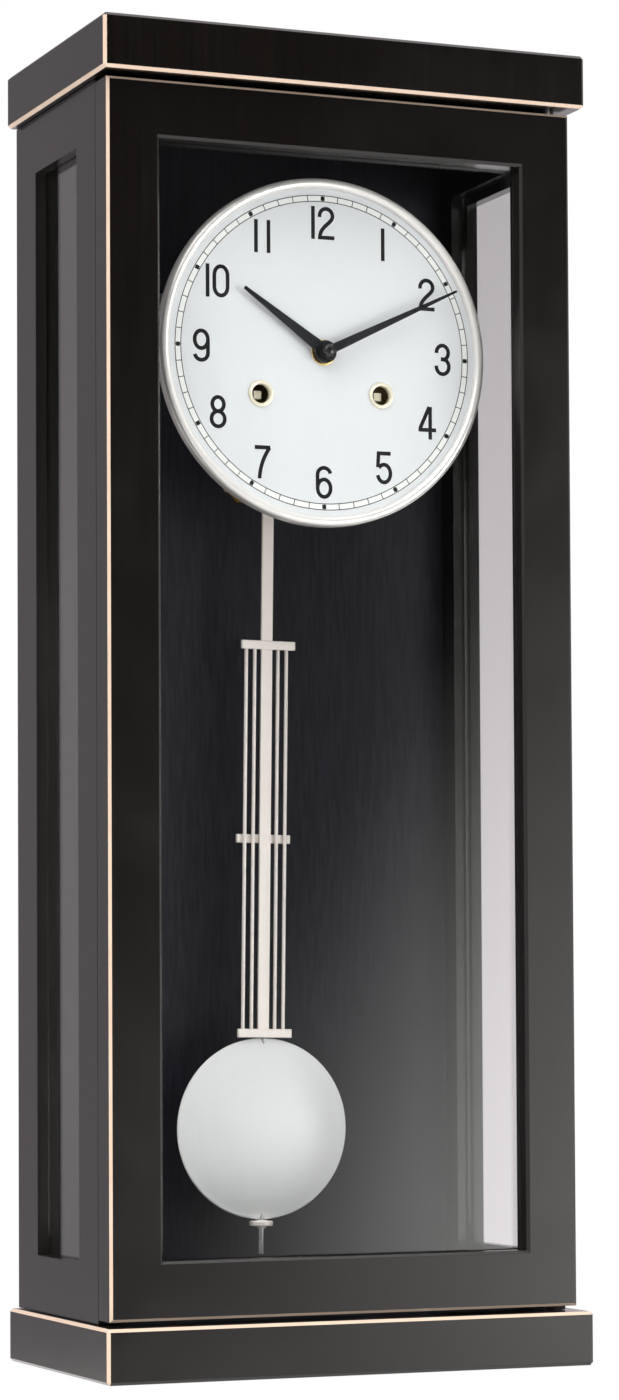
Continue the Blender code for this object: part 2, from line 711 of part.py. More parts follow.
def escape_outline(at):
    """Long pointed teeth, leaning the way the wheel turns."""
    pitch = 2 * math.pi / ESCAPE_TEETH
    root = ESCAPE_RADIUS - 2.6
    outline = []
    for tooth in range(ESCAPE_TEETH):
        for radius, shift in ((root, 0.0), (ESCAPE_RADIUS, 0.12), (root, 0.5)):
            angle = (tooth + shift) * pitch
            outline.append((at[0] + radius * math.cos(angle), at[1] + radius * math.sin(angle)))
    return outline


def build_going_train(axes):
    wheel_bearing, _ = meshing(INTERMEDIATE_AT, CENTRE_AT, PINION_LEAVES)
    _, pinion_bearing = meshing(WINDING_TIME, INTERMEDIATE_AT, PINION_LEAVES)
    at = from_dial(INTERMEDIATE_AT)
    build_train_wheel(
        "intermediate_wheel",
        INTERMEDIATE_AT,
        gear(INTERMEDIATE_TEETH, GREAT_MODULE, at, SPAN["intermediate_wheel"], wheel_bearing),
        gear(PINION_LEAVES, GREAT_MODULE, at, SPAN["intermediate_pinion"], pinion_bearing),
        axes["intermediate"],
    )
    _, pinion_bearing = meshing(CENTRE_AT, THIRD_AT, PINION_LEAVES)
    wheel_bearing, escape_bearing = meshing(THIRD_AT, ESCAPE_AT, ESCAPE_LEAVES)
    at = from_dial(THIRD_AT)
    build_train_wheel(
        "third_wheel",
        THIRD_AT,
        gear(THIRD_TEETH, THIRD_MODULE, at, SPAN["third_wheel"], wheel_bearing),
        gear(PINION_LEAVES, CENTRE_MODULE, at, SPAN["third_pinion"], pinion_bearing),
        axes["third"],
    )
    at = from_dial(ESCAPE_AT)
    build_train_wheel(
        "escape_wheel",
        ESCAPE_AT,
        prism(escape_outline(at), *SPAN["escape_wheel"]),
        gear(ESCAPE_LEAVES, THIRD_MODULE, at, SPAN["escape_pinion"], escape_bearing),
        axes["escape"],
    )


def build_strike_train(axes):
    _, pinion_bearing = meshing(WINDING_STRIKE, PIN_WHEEL_AT, PINION_LEAVES)
    wheel_bearing, fly_bearing = meshing(PIN_WHEEL_AT, FLY_AT, PINION_LEAVES)
    at = from_dial(PIN_WHEEL_AT)
    wheel = gear(STRIKE_TEETH, STRIKE_MODULE, at, SPAN["pin_wheel"], wheel_bearing)
    pinion = gear(PINION_LEAVES, GREAT_MODULE, at, SPAN["pin_wheel_pinion"], pinion_bearing)
    stem = arbor(PIN_WHEEL_AT, ARBOR_RADIUS, "arbor")
    pivots = arbor(PIN_WHEEL_AT, PIVOT_RADIUS, "pivots")
    pins = [rod(p, 0.8, *SPAN["lifting_pins"], 6) for p in circle_points(*at, 11.5, 8)]
    added = [pinion, stem, pivots, *pins]
    piece("strike_pin_wheel", "brass", axes["pin_wheel"], wheel, joined=added)

    at = from_dial(FLY_AT)
    pinion = gear(PINION_LEAVES, STRIKE_MODULE, at, SPAN["fly_pinion"], fly_bearing)
    vane = block(at[0] - 7.8, at[0] + 7.8, *SPAN["fly_vane"], at[1] - 0.5, at[1] + 0.5)
    stem = arbor(FLY_AT, ARBOR_RADIUS, "arbor")
    pivots = arbor(FLY_AT, PIVOT_RADIUS, "pivots")
    piece("strike_fly", "steel", axes["fly"], stem, joined=[pivots, pinion, vane])

    build_hammer(axes["hammer"])


def build_hammer(axis):
    """The hammer's arm runs behind the back plate, and its head hangs over the bell's rim."""
    x, z = from_dial(HAMMER_AT)
    head_x = BELL_AT[0]
    stem = rod((x, z), ARBOR_RADIUS, SPAN["arbor"][0], -50.2, 8)
    tail = prism([(x - 1.0, z - 1.4), (x + 3.4, z - 3.2), (x + 2.2, z + 1.2)], -69.0, -67.2)
    arm = block(x, head_x, -52.0, -50.4, z - 0.9, z + 0.9)
    rim = DIAL_HEIGHT + BELL_AT[1] + BELL_RADIUS
    head = upright_rod(head_x, -51.2, 2.6, rim + 0.4, rim + 7.4, 12)
    piece("hammer", "steel", axis, stem, joined=[tail, arm, head])


def build_bell(clock):
    centre = from_dial(BELL_AT)
    r = BELL_RADIUS
    profile = [
        (2.8, -55.8),
        (r * 0.45, -55.5),
        (r * 0.78, -53.6),
        (r * 0.94, -50.6),
        (r, -46.0),
        (r - 1.0, -46.0),
        (r * 0.94 - 1.0, -50.2),
        (r * 0.78 - 0.6, -52.7),
        (r * 0.45, -54.6),
        (2.8, -54.9),
    ]
    piece("bell", "brass", clock, turned(profile, centre, 28, closed=True))
    profile = [
        (0, -56.7),
        (4.5, -56.7),
        (4.5, -56.1),
        (2.4, -56.1),
        (2.4, -54.6),
        (4.2, -54.6),
        (4.2, -51.5),
        (0, -51.5),
    ]
    piece("bell_post", "steel", clock, turned(profile, centre, 12, closed=False))


def build_cock(clock):
    """A bracket on the back plate that carries the pendulum's suspension spring."""
    z = DIAL_HEIGHT
    foot = block(-9, 9, BACK_PLATE[1] + GAP, -54.2, z + 52, z + 61)
    arm = block(-5.5, 5.5, -54.7, -36.5, z + 53.5, z + 58)
    slot = block(-1.5, 1.5, -46.0, -30.0, z + 50, z + 62)
    piece("suspension_cock", "brass", clock, foot, joined=[arm], cut=[slot])


def build_anchor(axis):
    """Pallets over the escape wheel, on an arbor whose crutch reaches the pendulum."""
    z = DIAL_HEIGHT + PIVOT_ABOVE_DIAL
    reach = math.radians(47.5)
    radius = ESCAPE_RADIUS + PALLET_CLEARANCE
    pallet_x = radius * math.sin(reach)
    pallet_z = DIAL_HEIGHT + ESCAPE_AT[1] + radius * math.cos(reach)
    outline = [
        (-pallet_x - 0.2, pallet_z - 1.2),
        (-pallet_x + 0.2, pallet_z + 1.6),
        (-4.5, z - 4.0),
        (4.5, z - 4.0),
        (pallet_x - 0.2, pallet_z + 1.6),
        (pallet_x + 0.2, pallet_z - 1.2),
        (pallet_x + 2.2, pallet_z + 0.8),
        (pallet_x + 1.6, pallet_z + 4.2),
        (3.5, z + 2.4),
        (-3.5, z + 2.4),
        (-pallet_x - 1.6, pallet_z + 4.2),
        (-pallet_x - 2.2, pallet_z + 0.8),
    ]
    pallets = prism(outline, *SPAN["pallets"])
    stem = rod((0.0, z), 1.3, SPAN["arbor"][0], -50.2, 10)
    pivot = rod((0.0, z), PIVOT_RADIUS, SPAN["pivots"][0], -100.0, 10)
    crutch = block(-1.1, 1.1, -51.6, -50.4, z - 34.0, z)
    pin = rod((0.0, z - 32.5), 0.8, -51.0, -38.6, 8)
    piece("pallet_anchor", "steel", axis, pallets, joined=[stem, pivot, crutch, pin])


# ---------------------------------------------------------------- pendulum


def build_pendulum(axis, nut_axis):
    y = PENDULUM_Y
    pivot = DIAL_HEIGHT + PIVOT_ABOVE_DIAL
    blade = block(-0.2, 0.2, y - 3, y + 3, pivot - 14, pivot + 11)
    top_block = block(-3.6, 3.6, y - 2.5, y + 2.5, pivot + 10.2, pivot + 13.5)
    low_block = block(-3.0, 3.0, y - 2.6, y + 2.6, pivot - 20, pivot - 12)
    piece("suspension_spring", "steel", axis, low_block, joined=[blade, top_block])

    bar_bottom = GRID_HEIGHTS["bottom"] - GRID_BAR_HEIGHT / 2
    bar = block(-BAR_HALF_WIDTH, BAR_HALF_WIDTH, y - 0.8, y + 0.8, bar_bottom, pivot - 20.3)
    crutch_slot = block(-1.3, 1.3, y - 2, y + 2, pivot - 36.5, pivot - 28.5)
    piece("pendulum_bar", "nickel", axis, bar, cut=[crutch_slot])

    for name, height in GRID_HEIGHTS.items():
        y0, y1 = (y + 1.4, y + 3.6) if name == "middle" else (y - 3.4, y - 1.2)
        half = GRID_BAR_HEIGHT / 2
        bar = block(-GRID_HALF_WIDTH, GRID_HALF_WIDTH, y0, y1, height - half, height + half)
        chamfered(bar, 0.3, lambda middle: True)
        piece(f"grid_bar_{name}", "nickel", axis, bar)

    low, high = GRID_HEIGHTS["bottom"], GRID_HEIGHTS["top"]
    for number, offset in enumerate(GRID_ROD_OFFSETS, start=1):
        upright = upright_rod(offset, y + 0.1, GRID_ROD_RADIUS, low, high, 12)
        piece(f"grid_rod_{number}", "nickel", axis, upright)

    screw = upright_rod(0.0, y, SCREW_RADIUS, SCREW_BOTTOM, bar_bottom - GAP, 12)
    piece("adjusting_screw", "steel", axis, screw)
    build_bob(axis)

    top = BOB_HEIGHT - BOB_RADIUS - GAP
    bore = SCREW_RADIUS + GAP
    profile = [
        (bore, top),
        (3.2, top),
        (3.2, top - 0.5),
        (5.9, top - 0.5),
        (6.25, top - 0.9),
        (6.25, top - 2.7),
        (5.9, top - 3.1),
        (2.7, top - 3.1),
        (2.7, top - 4.3),
        (bore, top - 4.3),
    ]
    nut = turned_upright(profile, 0.0, y, 18)
    piece("rating_nut", "nickel", nut_axis, nut)


def build_bob(axis):
    """A lens with a narrow flat rim, bored from top to bottom for the adjusting screw."""
    y = PENDULUM_Y
    edge = 0.9
    rise = BOB_HALF_THICKNESS - edge
    steps = 4
    front = []
    for i in range(steps + 1):
        share = i / steps
        front.append((share * (BOB_RADIUS - 0.5), y - edge - rise * (1 - share**2)))
    back = [(r, 2 * y - depth) for r, depth in reversed(front)]
    profile = front + [(BOB_RADIUS, y - edge + 0.3), (BOB_RADIUS, y + edge - 0.3)] + back
    lens = turned(profile, (0.0, BOB_HEIGHT), 44, closed=False)
    low, high = BOB_HEIGHT - BOB_RADIUS - 2, BOB_HEIGHT + BOB_RADIUS + 2
    bore = upright_rod(0.0, y, SCREW_RADIUS + GAP, low, high, 12)
    piece("bob", "nickel", axis, lens, cut=[bore])


# ---------------------------------------------------------------- assembly

CENTRE_AT = (0.0, 0.0)
INTERMEDIATE_AT = meeting_point(
    CENTRE_AT,
    GREAT_MODULE * (INTERMEDIATE_TEETH + PINION_LEAVES) / 2,
    WINDING_TIME,
    GREAT_MODULE * (GREAT_TEETH + PINION_LEAVES) / 2,
    side=1,
)
THIRD_AT = meeting_point(
    CENTRE_AT,
    CENTRE_MODULE * (CENTRE_TEETH + PINION_LEAVES) / 2,
    ESCAPE_AT,
    THIRD_MODULE * (THIRD_TEETH + ESCAPE_LEAVES) / 2,
    side=1,
)
PIN_WHEEL_AT = on_bearing(
    WINDING_STRIKE, GREAT_MODULE * (GREAT_TEETH + PINION_LEAVES) / 2, PIN_WHEEL_BEARING
)
FLY_AT = on_bearing(PIN_WHEEL_AT, STRIKE_MODULE * (STRIKE_TEETH + PINION_LEAVES) / 2, FLY_BEARING)
MINUTE_WHEEL_AT = (0.0, -MOTION_MODULE * (CANNON_TEETH + MINUTE_WHEEL_TEETH) / 2)
ANCHOR_AT = (0.0, PIVOT_ABOVE_DIAL)


def main():
    clear_scene()
    FINISH.update(make_finishes())
    clock = add_axis("clock_frame", 0.0, 0.0, -HANGER_HEIGHT)

    build_blocks(clock)
    build_sides(clock)
    build_back(clock)
    build_hinges(clock)
    build_door(clock)
    build_dial(clock)

    places = {
        "minute": CENTRE_AT,
        "hour": CENTRE_AT,
        "minute_wheel": MINUTE_WHEEL_AT,
        "time_barrel": WINDING_TIME,
        "time_winding": WINDING_TIME,
        "intermediate": INTERMEDIATE_AT,
        "third": THIRD_AT,
        "escape": ESCAPE_AT,
        "strike_barrel": WINDING_STRIKE,
        "strike_winding": WINDING_STRIKE,
        "pin_wheel": PIN_WHEEL_AT,
        "fly": FLY_AT,
        "hammer": HAMMER_AT,
        "anchor": ANCHOR_AT,
    }
    middle = (FRONT_PLATE[1] + BACK_PLATE[0]) / 2
    axes = {
        name: joint_axis(name + "_axis", from_dial(at), middle, clock)
        for name, at in places.items()
    }
    pivot_holes = [
        (CENTRE_AT, 2.6, 1.4),
        (WINDING_TIME, 3.4, 2.0),
        (WINDING_STRIKE, 3.4, 2.0),
        (INTERMEDIATE_AT, 1.2, 1.2),
        (THIRD_AT, 1.2, 1.2),
        (ESCAPE_AT, 1.2, 1.2),
        (PIN_WHEEL_AT, 1.2, 1.2),
        (FLY_AT, 1.2, 1.2),
        (HAMMER_AT, 0, 1.7),
        (ANCHOR_AT, 1.2, 1.8),
    ]
    build_plates(clock, pivot_holes)
    build_brackets(clock)
    build_centre(axes["minute"])
    build_motion_work(axes["minute"], axes["hour"], axes["minute_wheel"])
    build_hands(axes["minute"], axes["hour"])
    build_barrel("going_barrel", WINDING_TIME, INTERMEDIATE_AT, axes["time_barrel"])
    build_barrel("strike_barrel", WINDING_STRIKE, PIN_WHEEL_AT, axes["strike_barrel"])
    build_winding_arbor("going_winding_arbor", WINDING_TIME, axes["time_winding"])
    build_winding_arbor("strike_winding_arbor", WINDING_STRIKE, axes["strike_winding"])
    build_going_train(axes)
    build_strike_train(axes)
    build_bell(clock)
    build_cock(clock)
    build_anchor(axes["anchor"])

    pivot_height = DIAL_HEIGHT + PIVOT_ABOVE_DIAL
    pendulum = joint_axis("pendulum_axis", (0.0, pivot_height), PENDULUM_Y, clock)
    nut_height = BOB_HEIGHT - BOB_RADIUS
    nut = add_axis("rating_nut_axis", 0.0, 0.0, nut_height - pivot_height, pendulum)
    nut["centre_mm"] = (0.0, PENDULUM_Y, nut_height)
    build_pendulum(pendulum, nut)
    pendulum.rotation_euler.y = math.radians(PENDULUM_LEAN)
    axes["anchor"].rotation_euler.y = math.radians(PENDULUM_LEAN)


FINISH = {}
main()
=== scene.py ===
"""Looks of the pendulum wall clock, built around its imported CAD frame.

Places and sizes are in metres, and MM turns millimetres into them. Outlines for the lathe and the
numerals are in millimetres. X runs to the right, Y into the wall and Z up, with the origin at the
hanger on the wall plane.
"""

import json
import math

import bmesh
import bpy
from mathutils import Matrix, Vector

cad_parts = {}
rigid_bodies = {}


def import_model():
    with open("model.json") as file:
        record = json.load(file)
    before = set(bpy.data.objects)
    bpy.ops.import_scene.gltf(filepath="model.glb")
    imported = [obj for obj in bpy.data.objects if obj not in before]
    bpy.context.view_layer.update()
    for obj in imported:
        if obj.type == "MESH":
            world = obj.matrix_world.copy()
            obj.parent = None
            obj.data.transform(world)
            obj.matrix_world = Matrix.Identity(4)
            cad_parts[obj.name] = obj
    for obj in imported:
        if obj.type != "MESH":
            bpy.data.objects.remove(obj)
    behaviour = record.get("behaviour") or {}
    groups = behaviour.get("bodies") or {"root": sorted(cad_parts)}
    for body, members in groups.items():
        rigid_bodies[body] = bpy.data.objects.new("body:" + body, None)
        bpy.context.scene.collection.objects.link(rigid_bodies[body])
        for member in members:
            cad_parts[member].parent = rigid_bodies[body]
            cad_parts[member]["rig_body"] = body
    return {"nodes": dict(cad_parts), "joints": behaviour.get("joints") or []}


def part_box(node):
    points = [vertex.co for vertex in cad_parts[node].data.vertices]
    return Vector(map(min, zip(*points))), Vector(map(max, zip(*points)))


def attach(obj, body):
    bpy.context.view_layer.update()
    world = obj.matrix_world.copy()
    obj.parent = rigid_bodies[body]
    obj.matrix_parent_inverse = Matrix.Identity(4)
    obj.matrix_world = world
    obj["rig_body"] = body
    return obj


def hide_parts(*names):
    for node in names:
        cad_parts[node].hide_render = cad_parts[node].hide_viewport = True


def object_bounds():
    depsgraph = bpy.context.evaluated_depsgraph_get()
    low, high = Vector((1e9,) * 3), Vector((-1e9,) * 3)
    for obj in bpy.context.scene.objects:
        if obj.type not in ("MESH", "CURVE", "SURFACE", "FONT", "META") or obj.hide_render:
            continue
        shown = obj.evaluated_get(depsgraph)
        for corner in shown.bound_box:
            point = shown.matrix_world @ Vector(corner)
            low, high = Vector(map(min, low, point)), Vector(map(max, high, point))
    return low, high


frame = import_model()

MM = 0.001
CAD_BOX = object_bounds()
FULL_TURN = 2 * math.pi


def middle(node):
    low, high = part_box(node)
    return (low + high) / 2


ARBORS = {}
for joint in frame["joints"]:
    ARBORS[joint["child"]] = Vector((joint["pos_m"][0], 0.0, joint["pos_m"][2]))
DIAL = middle("dial_plate")
DIAL_AXIS = Vector((DIAL.x, 0, DIAL.z))
DIAL_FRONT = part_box("dial_plate")[0].y
BOB = middle("bob")

# Width of an eased edge, and the angle in degrees over which an edge is eased
EDGE = 0.15 * MM
SMALL_EDGE = 0.1 * MM
SHARP_EDGE = 32.0

# Angle in degrees over which shading stays sharp, on turned pieces and on eased ones
TURNED_SHADING = 30.0
EASED_SHADING = 50.0

# Dial print
NUMERAL_RING = 67.3 * MM
NUMERAL_HEIGHT = 17.1
NUMERAL_WIDTH = 9.3
STROKE = 2.05
TRACK_RADIUS = 80.0 * MM
TRACK_WIDTH = 2.7 * MM
TRACK_LINE = 0.42 * MM
SQUARE_SIZE = 2.2 * MM
INK_DEPTH = 0.05 * MM

# ---------------------------------------------------------------- node helpers


def add(tree, kind, inputs=None, **settings):
    """A node with its settings. An input takes a value, or the socket that feeds it."""
    made = tree.nodes.new(kind)
    for name, value in settings.items():
        setattr(made, name, value)
    for name, value in (inputs or {}).items():
        if isinstance(value, bpy.types.NodeSocket):
            tree.links.new(value, made.inputs[name])
        else:
            made.inputs[name].default_value = value
    return made


def calc(tree, operation, *values, clamp=False):
    inputs = dict(enumerate(values))
    return add(tree, "ShaderNodeMath", inputs, operation=operation, use_clamp=clamp).outputs[0]


def spread(tree, value, low, high, to_low=0.0, to_high=1.0, kind="SMOOTHSTEP"):
    """The value eased from one range onto another."""
    inputs = {"Value": value, "From Min": low, "From Max": high}
    inputs.update({"To Min": to_low, "To Max": to_high})
    return add(tree, "ShaderNodeMapRange", inputs, interpolation_type=kind).outputs["Result"]


def blend(tree, share, first, second):
    inputs = {"Factor": share, 6: first, 7: second}
    return add(tree, "ShaderNodeMix", inputs, data_type="RGBA").outputs[2]


def shader_group(name, inputs, outputs):
    """An empty shader node group with its named sockets: (group, input sockets, output sockets)."""
    group = bpy.data.node_groups.new(name, "ShaderNodeTree")
    for label, value in inputs.items():
        kind = "NodeSocketVector" if isinstance(value, tuple) else "NodeSocketFloat"
        group.interface.new_socket(label, in_out="INPUT", socket_type=kind).default_value = value
    for label in outputs:
        group.interface.new_socket(label, in_out="OUTPUT", socket_type="NodeSocketFloat")
    start = group.nodes.new("NodeGroupInput")
    end = group.nodes.new("NodeGroupOutput")
    return group, start.outputs, end.inputs


def drawn_grain_group():
    """Fine streaks that run along one direction: wood grain under lacquer, or brushed metal."""
    inputs = {"Vector": (0.0, 0.0, 0.0), "Stretch": (1.0, 1.0, 1.0), "Contrast": 0.3}
    group, given, out = shader_group("drawn grain", inputs, ["Shade", "Height"])
    stretched = add(
        group, "ShaderNodeVectorMath", {0: given["Vector"], 1: given["Stretch"]}, operation="MULTIPLY"
    )
    streaks = add(
        group, "ShaderNodeTexNoise", {"Vector": stretched.outputs[0], "Scale": 1.0, "Detail": 6.0}
    ).outputs["Fac"]
    low = calc(group, "SUBTRACT", 0.5, given["Contrast"])
    high = calc(group, "ADD", 0.5, given["Contrast"])
    group.links.new(spread(group, streaks, low, high), out["Shade"])
    group.links.new(streaks, out["Height"])
    return group


def turned_grain_group():
    """Fine rings round the Y axis, as a lathe or a buffing wheel leaves them."""
    inputs = {"Vector": (0.0, 0.0, 0.0), "Rings": 900.0, "Contrast": 0.3}
    group, given, out = shader_group("turned grain", inputs, ["Shade", "Height"])
    parts = add(group, "ShaderNodeSeparateXYZ", {0: given["Vector"]}).outputs
    across = calc(group, "MULTIPLY", parts["X"], parts["X"])
    upward = calc(group, "MULTIPLY", parts["Z"], parts["Z"])
    radius = calc(group, "SQRT", calc(group, "ADD", across, upward))
    angle = calc(group, "ARCTAN2", parts["X"], parts["Z"])
    ring = calc(group, "MULTIPLY", radius, given["Rings"])
    place = add(group, "ShaderNodeCombineXYZ", {"X": ring, "Y": angle, "Z": parts["Y"]}).outputs[0]
    rings = add(
        group, "ShaderNodeTexNoise", {"Vector": place, "Scale": 1.0, "Detail": 4.0}
    ).outputs["Fac"]
    low = calc(group, "SUBTRACT", 0.5, given["Contrast"])
    high = calc(group, "ADD", 0.5, given["Contrast"])
    group.links.new(spread(group, rings, low, high), out["Shade"])
    group.links.new(rings, out["Height"])
    return group


def handling_group():
    """Soft uneven patches, where a surface was wiped or touched."""
    inputs = {"Vector": (0.0, 0.0, 0.0), "Patches": 12.0, "Coverage": 0.5}
    group, given, out = shader_group("handling marks", inputs, ["Mask"])
    patches = add(
        group,
        "ShaderNodeTexNoise",
        {"Vector": given["Vector"], "Scale": given["Patches"], "Detail": 5.0, "Distortion": 0.6},
    ).outputs["Fac"]
    edge = calc(group, "SUBTRACT", 0.85, given["Coverage"])
    group.links.new(spread(group, patches, edge, 0.9), out["Mask"])
    return group


def edge_wear_group():
    """How near a point is to a convex edge, broken up so that the wear looks uneven."""
    inputs = {"Vector": (0.0, 0.0, 0.0), "Reach": 0.0004, "Amount": 1.0}
    group, given, out = shader_group("edge wear", inputs, ["Mask"])
    rounded = add(group, "ShaderNodeBevel", {"Radius": given["Reach"]}, samples=4).outputs[0]
    flat = add(group, "ShaderNodeNewGeometry").outputs["Normal"]
    alike = add(group, "ShaderNodeVectorMath", {0: rounded, 1: flat}, operation="DOT_PRODUCT")
    turned = calc(group, "SUBTRACT", 1.0, alike.outputs["Value"])
    broken = add(
        group, "ShaderNodeTexNoise", {"Vector": given["Vector"], "Scale": 260.0, "Detail": 3.0}
    ).outputs["Fac"]
    worn = calc(group, "MULTIPLY", spread(group, turned, 0.02, 0.25), spread(group, broken, 0.35, 0.6))
    group.links.new(calc(group, "MULTIPLY", worn, given["Amount"], clamp=True), out["Mask"])
    return group


def dust_group():
    """A thin film on what faces up."""
    inputs = {"Vector": (0.0, 0.0, 0.0), "Amount": 0.3}
    group, given, out = shader_group("settled dust", inputs, ["Mask"])
    normal = add(group, "ShaderNodeNewGeometry").outputs["Normal"]
    upward = add(group, "ShaderNodeSeparateXYZ", {0: normal}).outputs["Z"]
    specks = add(
        group, "ShaderNodeTexNoise", {"Vector": given["Vector"], "Scale": 90.0, "Detail": 8.0}
    ).outputs["Fac"]
    film = calc(group, "MULTIPLY", spread(group, upward, 0.5, 1.0), spread(group, specks, 0.3, 0.8))
    group.links.new(calc(group, "MULTIPLY", film, given["Amount"], clamp=True), out["Mask"])
    return group


GRAIN = drawn_grain_group()
TURNED = turned_grain_group()
HANDLING = handling_group()
WEAR = edge_wear_group()
DUST = dust_group()

# ---------------------------------------------------------------- finishes

TOUCHED_SHARE = 0.5
WEAR_REACH = 0.4 * MM
DUST_COLOUR = (0.35, 0.33, 0.30, 1.0)


def worked(
    name,
    colour,
    shade,
    roughness,
    rougher,
    metallic=0.0,
    stretch=(300.0, 300.0, 8.0),
    contrast=0.3,
    centre=None,
    rings=900.0,
    patches=14.0,
    bump=0.05,
    bump_depth=0.00005,
    worn=None,
    wear_amount=0.6,
    dust=0.0,
    specular=0.5,
):
    """A surface with grain between two colours, handling marks, worn edges and dust."""
    made = bpy.data.materials.new(name)
    made.use_nodes = True
    tree = made.node_tree
    shader = tree.nodes["Principled BSDF"]
    shader.inputs["Metallic"].default_value = metallic
    shader.inputs["Specular IOR Level"].default_value = specular
    place = add(tree, "ShaderNodeTexCoord").outputs["Object"]
    if centre is None:
        given = {"Vector": place, "Stretch": stretch, "Contrast": contrast}
        grain = add(tree, "ShaderNodeGroup", node_tree=GRAIN)
    else:
        mapped = add(tree, "ShaderNodeMapping", {"Vector": place, "Location": -centre})
        given = {"Vector": mapped.outputs[0], "Rings": rings, "Contrast": contrast}
        grain = add(tree, "ShaderNodeGroup", node_tree=TURNED)
    for label, value in given.items():
        if isinstance(value, bpy.types.NodeSocket):
            tree.links.new(value, grain.inputs[label])
        else:
            grain.inputs[label].default_value = value
    base = blend(tree, grain.outputs["Shade"], (*colour, 1.0), (*shade, 1.0))

    marks = add(tree, "ShaderNodeGroup", node_tree=HANDLING)
    tree.links.new(place, marks.inputs["Vector"])
    marks.inputs["Patches"].default_value = patches
    marks.inputs["Coverage"].default_value = TOUCHED_SHARE
    rough = spread(tree, marks.outputs["Mask"], 0.0, 1.0, roughness, rougher, "LINEAR")

    if worn:
        wear = add(tree, "ShaderNodeGroup", node_tree=WEAR)
        tree.links.new(place, wear.inputs["Vector"])
        wear.inputs["Amount"].default_value = wear_amount
        wear.inputs["Reach"].default_value = WEAR_REACH
        base = blend(tree, wear.outputs["Mask"], base, (*worn, 1.0))
    if dust:
        film = add(tree, "ShaderNodeGroup", node_tree=DUST)
        tree.links.new(place, film.inputs["Vector"])
        film.inputs["Amount"].default_value = dust
        base = blend(tree, film.outputs["Mask"], base, DUST_COLOUR)
    tree.links.new(base, shader.inputs["Base Color"])
    tree.links.new(rough, shader.inputs["Roughness"])
    relief = {"Height": grain.outputs["Height"], "Strength": bump, "Distance": bump_depth}
    raised = add(tree, "ShaderNodeBump", relief)
    tree.links.new(raised.outputs["Normal"], shader.inputs["Normal"])
    return made


def case_glass():
    """Clear glass that lets the studio light through to the inside of the case."""
    made = bpy.data.materials.new("case glass")
    made.use_nodes = True
    tree = made.node_tree
    shader = tree.nodes["Principled BSDF"]
    shader.inputs["Base Color"].default_value = (0.97, 0.985, 0.98, 1.0)
    shader.inputs["Transmission Weight"].default_value = 1.0
    shader.inputs["IOR"].default_value = 1.5
    place = add(tree, "ShaderNodeTexCoord").outputs["Object"]
    smears = add(tree, "ShaderNodeGroup", node_tree=HANDLING)
    tree.links.new(place, smears.inputs["Vector"])
    smears.inputs["Patches"].default_value = 9.0
    smears.inputs["Coverage"].default_value = 0.4
    rough = spread(tree, smears.outputs["Mask"], 0.0, 1.0, 0.0, 0.03, "LINEAR")
    tree.links.new(rough, shader.inputs["Roughness"])
    clear = add(tree, "ShaderNodeBsdfTransparent", {"Color": (0.93, 0.95, 0.94, 1.0)})
    shadow = add(tree, "ShaderNodeLightPath").outputs["Is Shadow Ray"]
    both = add(tree, "ShaderNodeMixShader", {0: shadow, 1: shader.outputs[0], 2: clear.outputs[0]})
    out = tree.nodes["Material Output"]
    tree.links.new(both.outputs[0], out.inputs["Surface"])
    return made


LACQUER = worked(
    "black piano lacquer",
    (0.0026, 0.0020, 0.0018),
    (0.0052, 0.0038, 0.0030),
    0.17,
    0.24,
    stretch=(420.0, 420.0, 9.0),
    bump=0.03,
    worn=(0.030, 0.024, 0.019),
    wear_amount=0.35,
    dust=0.10,
)
# Cream inlay colour. On the left-hand upright edges, which face the key light, it also stands in for a
# painted highlight, since the matching right-hand edges stay black.
INLAY_AND_HIGHLIGHT = worked(
    "cream edge inlay",
    (0.76, 0.60, 0.475),
    (0.70, 0.53, 0.41),
    0.28,
    0.42,
    stretch=(60.0, 60.0, 60.0),
    bump=0.05,
)
BACK_STAIN = worked(
    "black stained back board",
    (0.030, 0.024, 0.020),
    (0.085, 0.062, 0.045),
    0.62,
    0.80,
    stretch=(260.0, 260.0, 6.0),
    bump=0.35,
    bump_depth=0.0002,
    dust=0.3,
)
BACK_FACE = worked(
    "black back board face",
    (0.0060, 0.0055, 0.0100),
    (0.0150, 0.0140, 0.0210),
    0.50,
    0.60,
    specular=0.2,
    stretch=(700.0, 700.0, 60.0),
    contrast=0.2,
    bump=0.12,
    bump_depth=0.0001,
)
SILVERED = worked(
    "silvered dial",
    (0.70, 0.71, 0.745),
    (0.67, 0.68, 0.715),
    0.50,
    0.60,
    stretch=(900.0, 900.0, 900.0),
    patches=20.0,
    bump=0.04,
    bump_depth=0.00002,
)
TRACK_WHITE = worked(
    "white minute track",
    (0.84, 0.84, 0.84),
    (0.80, 0.80, 0.80),
    0.5,
    0.6,
    stretch=(900.0, 900.0, 900.0),
    bump=0.03,
    bump_depth=0.00002,
)
INK = worked(
    "black dial print",
    (0.004, 0.004, 0.006),
    (0.008, 0.008, 0.011),
    0.6,
    0.7,
    specular=0.2,
    stretch=(700.0, 700.0, 700.0),
    bump=0.05,
    bump_depth=0.00002,
)
CHROME = worked(
    "polished bezel",
    (0.94, 0.90, 0.89),
    (0.89, 0.85, 0.84),
    0.34,
    0.42,
    metallic=0.6,
    centre=DIAL,
    rings=1500.0,
    bump=0.02,
    bump_depth=0.00002,
)
BRASS = worked(
    "lacquered clock brass",
    (0.84, 0.63, 0.30),
    (0.70, 0.49, 0.20),
    0.22,
    0.38,
    metallic=1.0,
    stretch=(40.0, 600.0, 700.0),
    bump=0.08,
    worn=(0.93, 0.78, 0.50),
    wear_amount=0.5,
    patches=40.0,
)
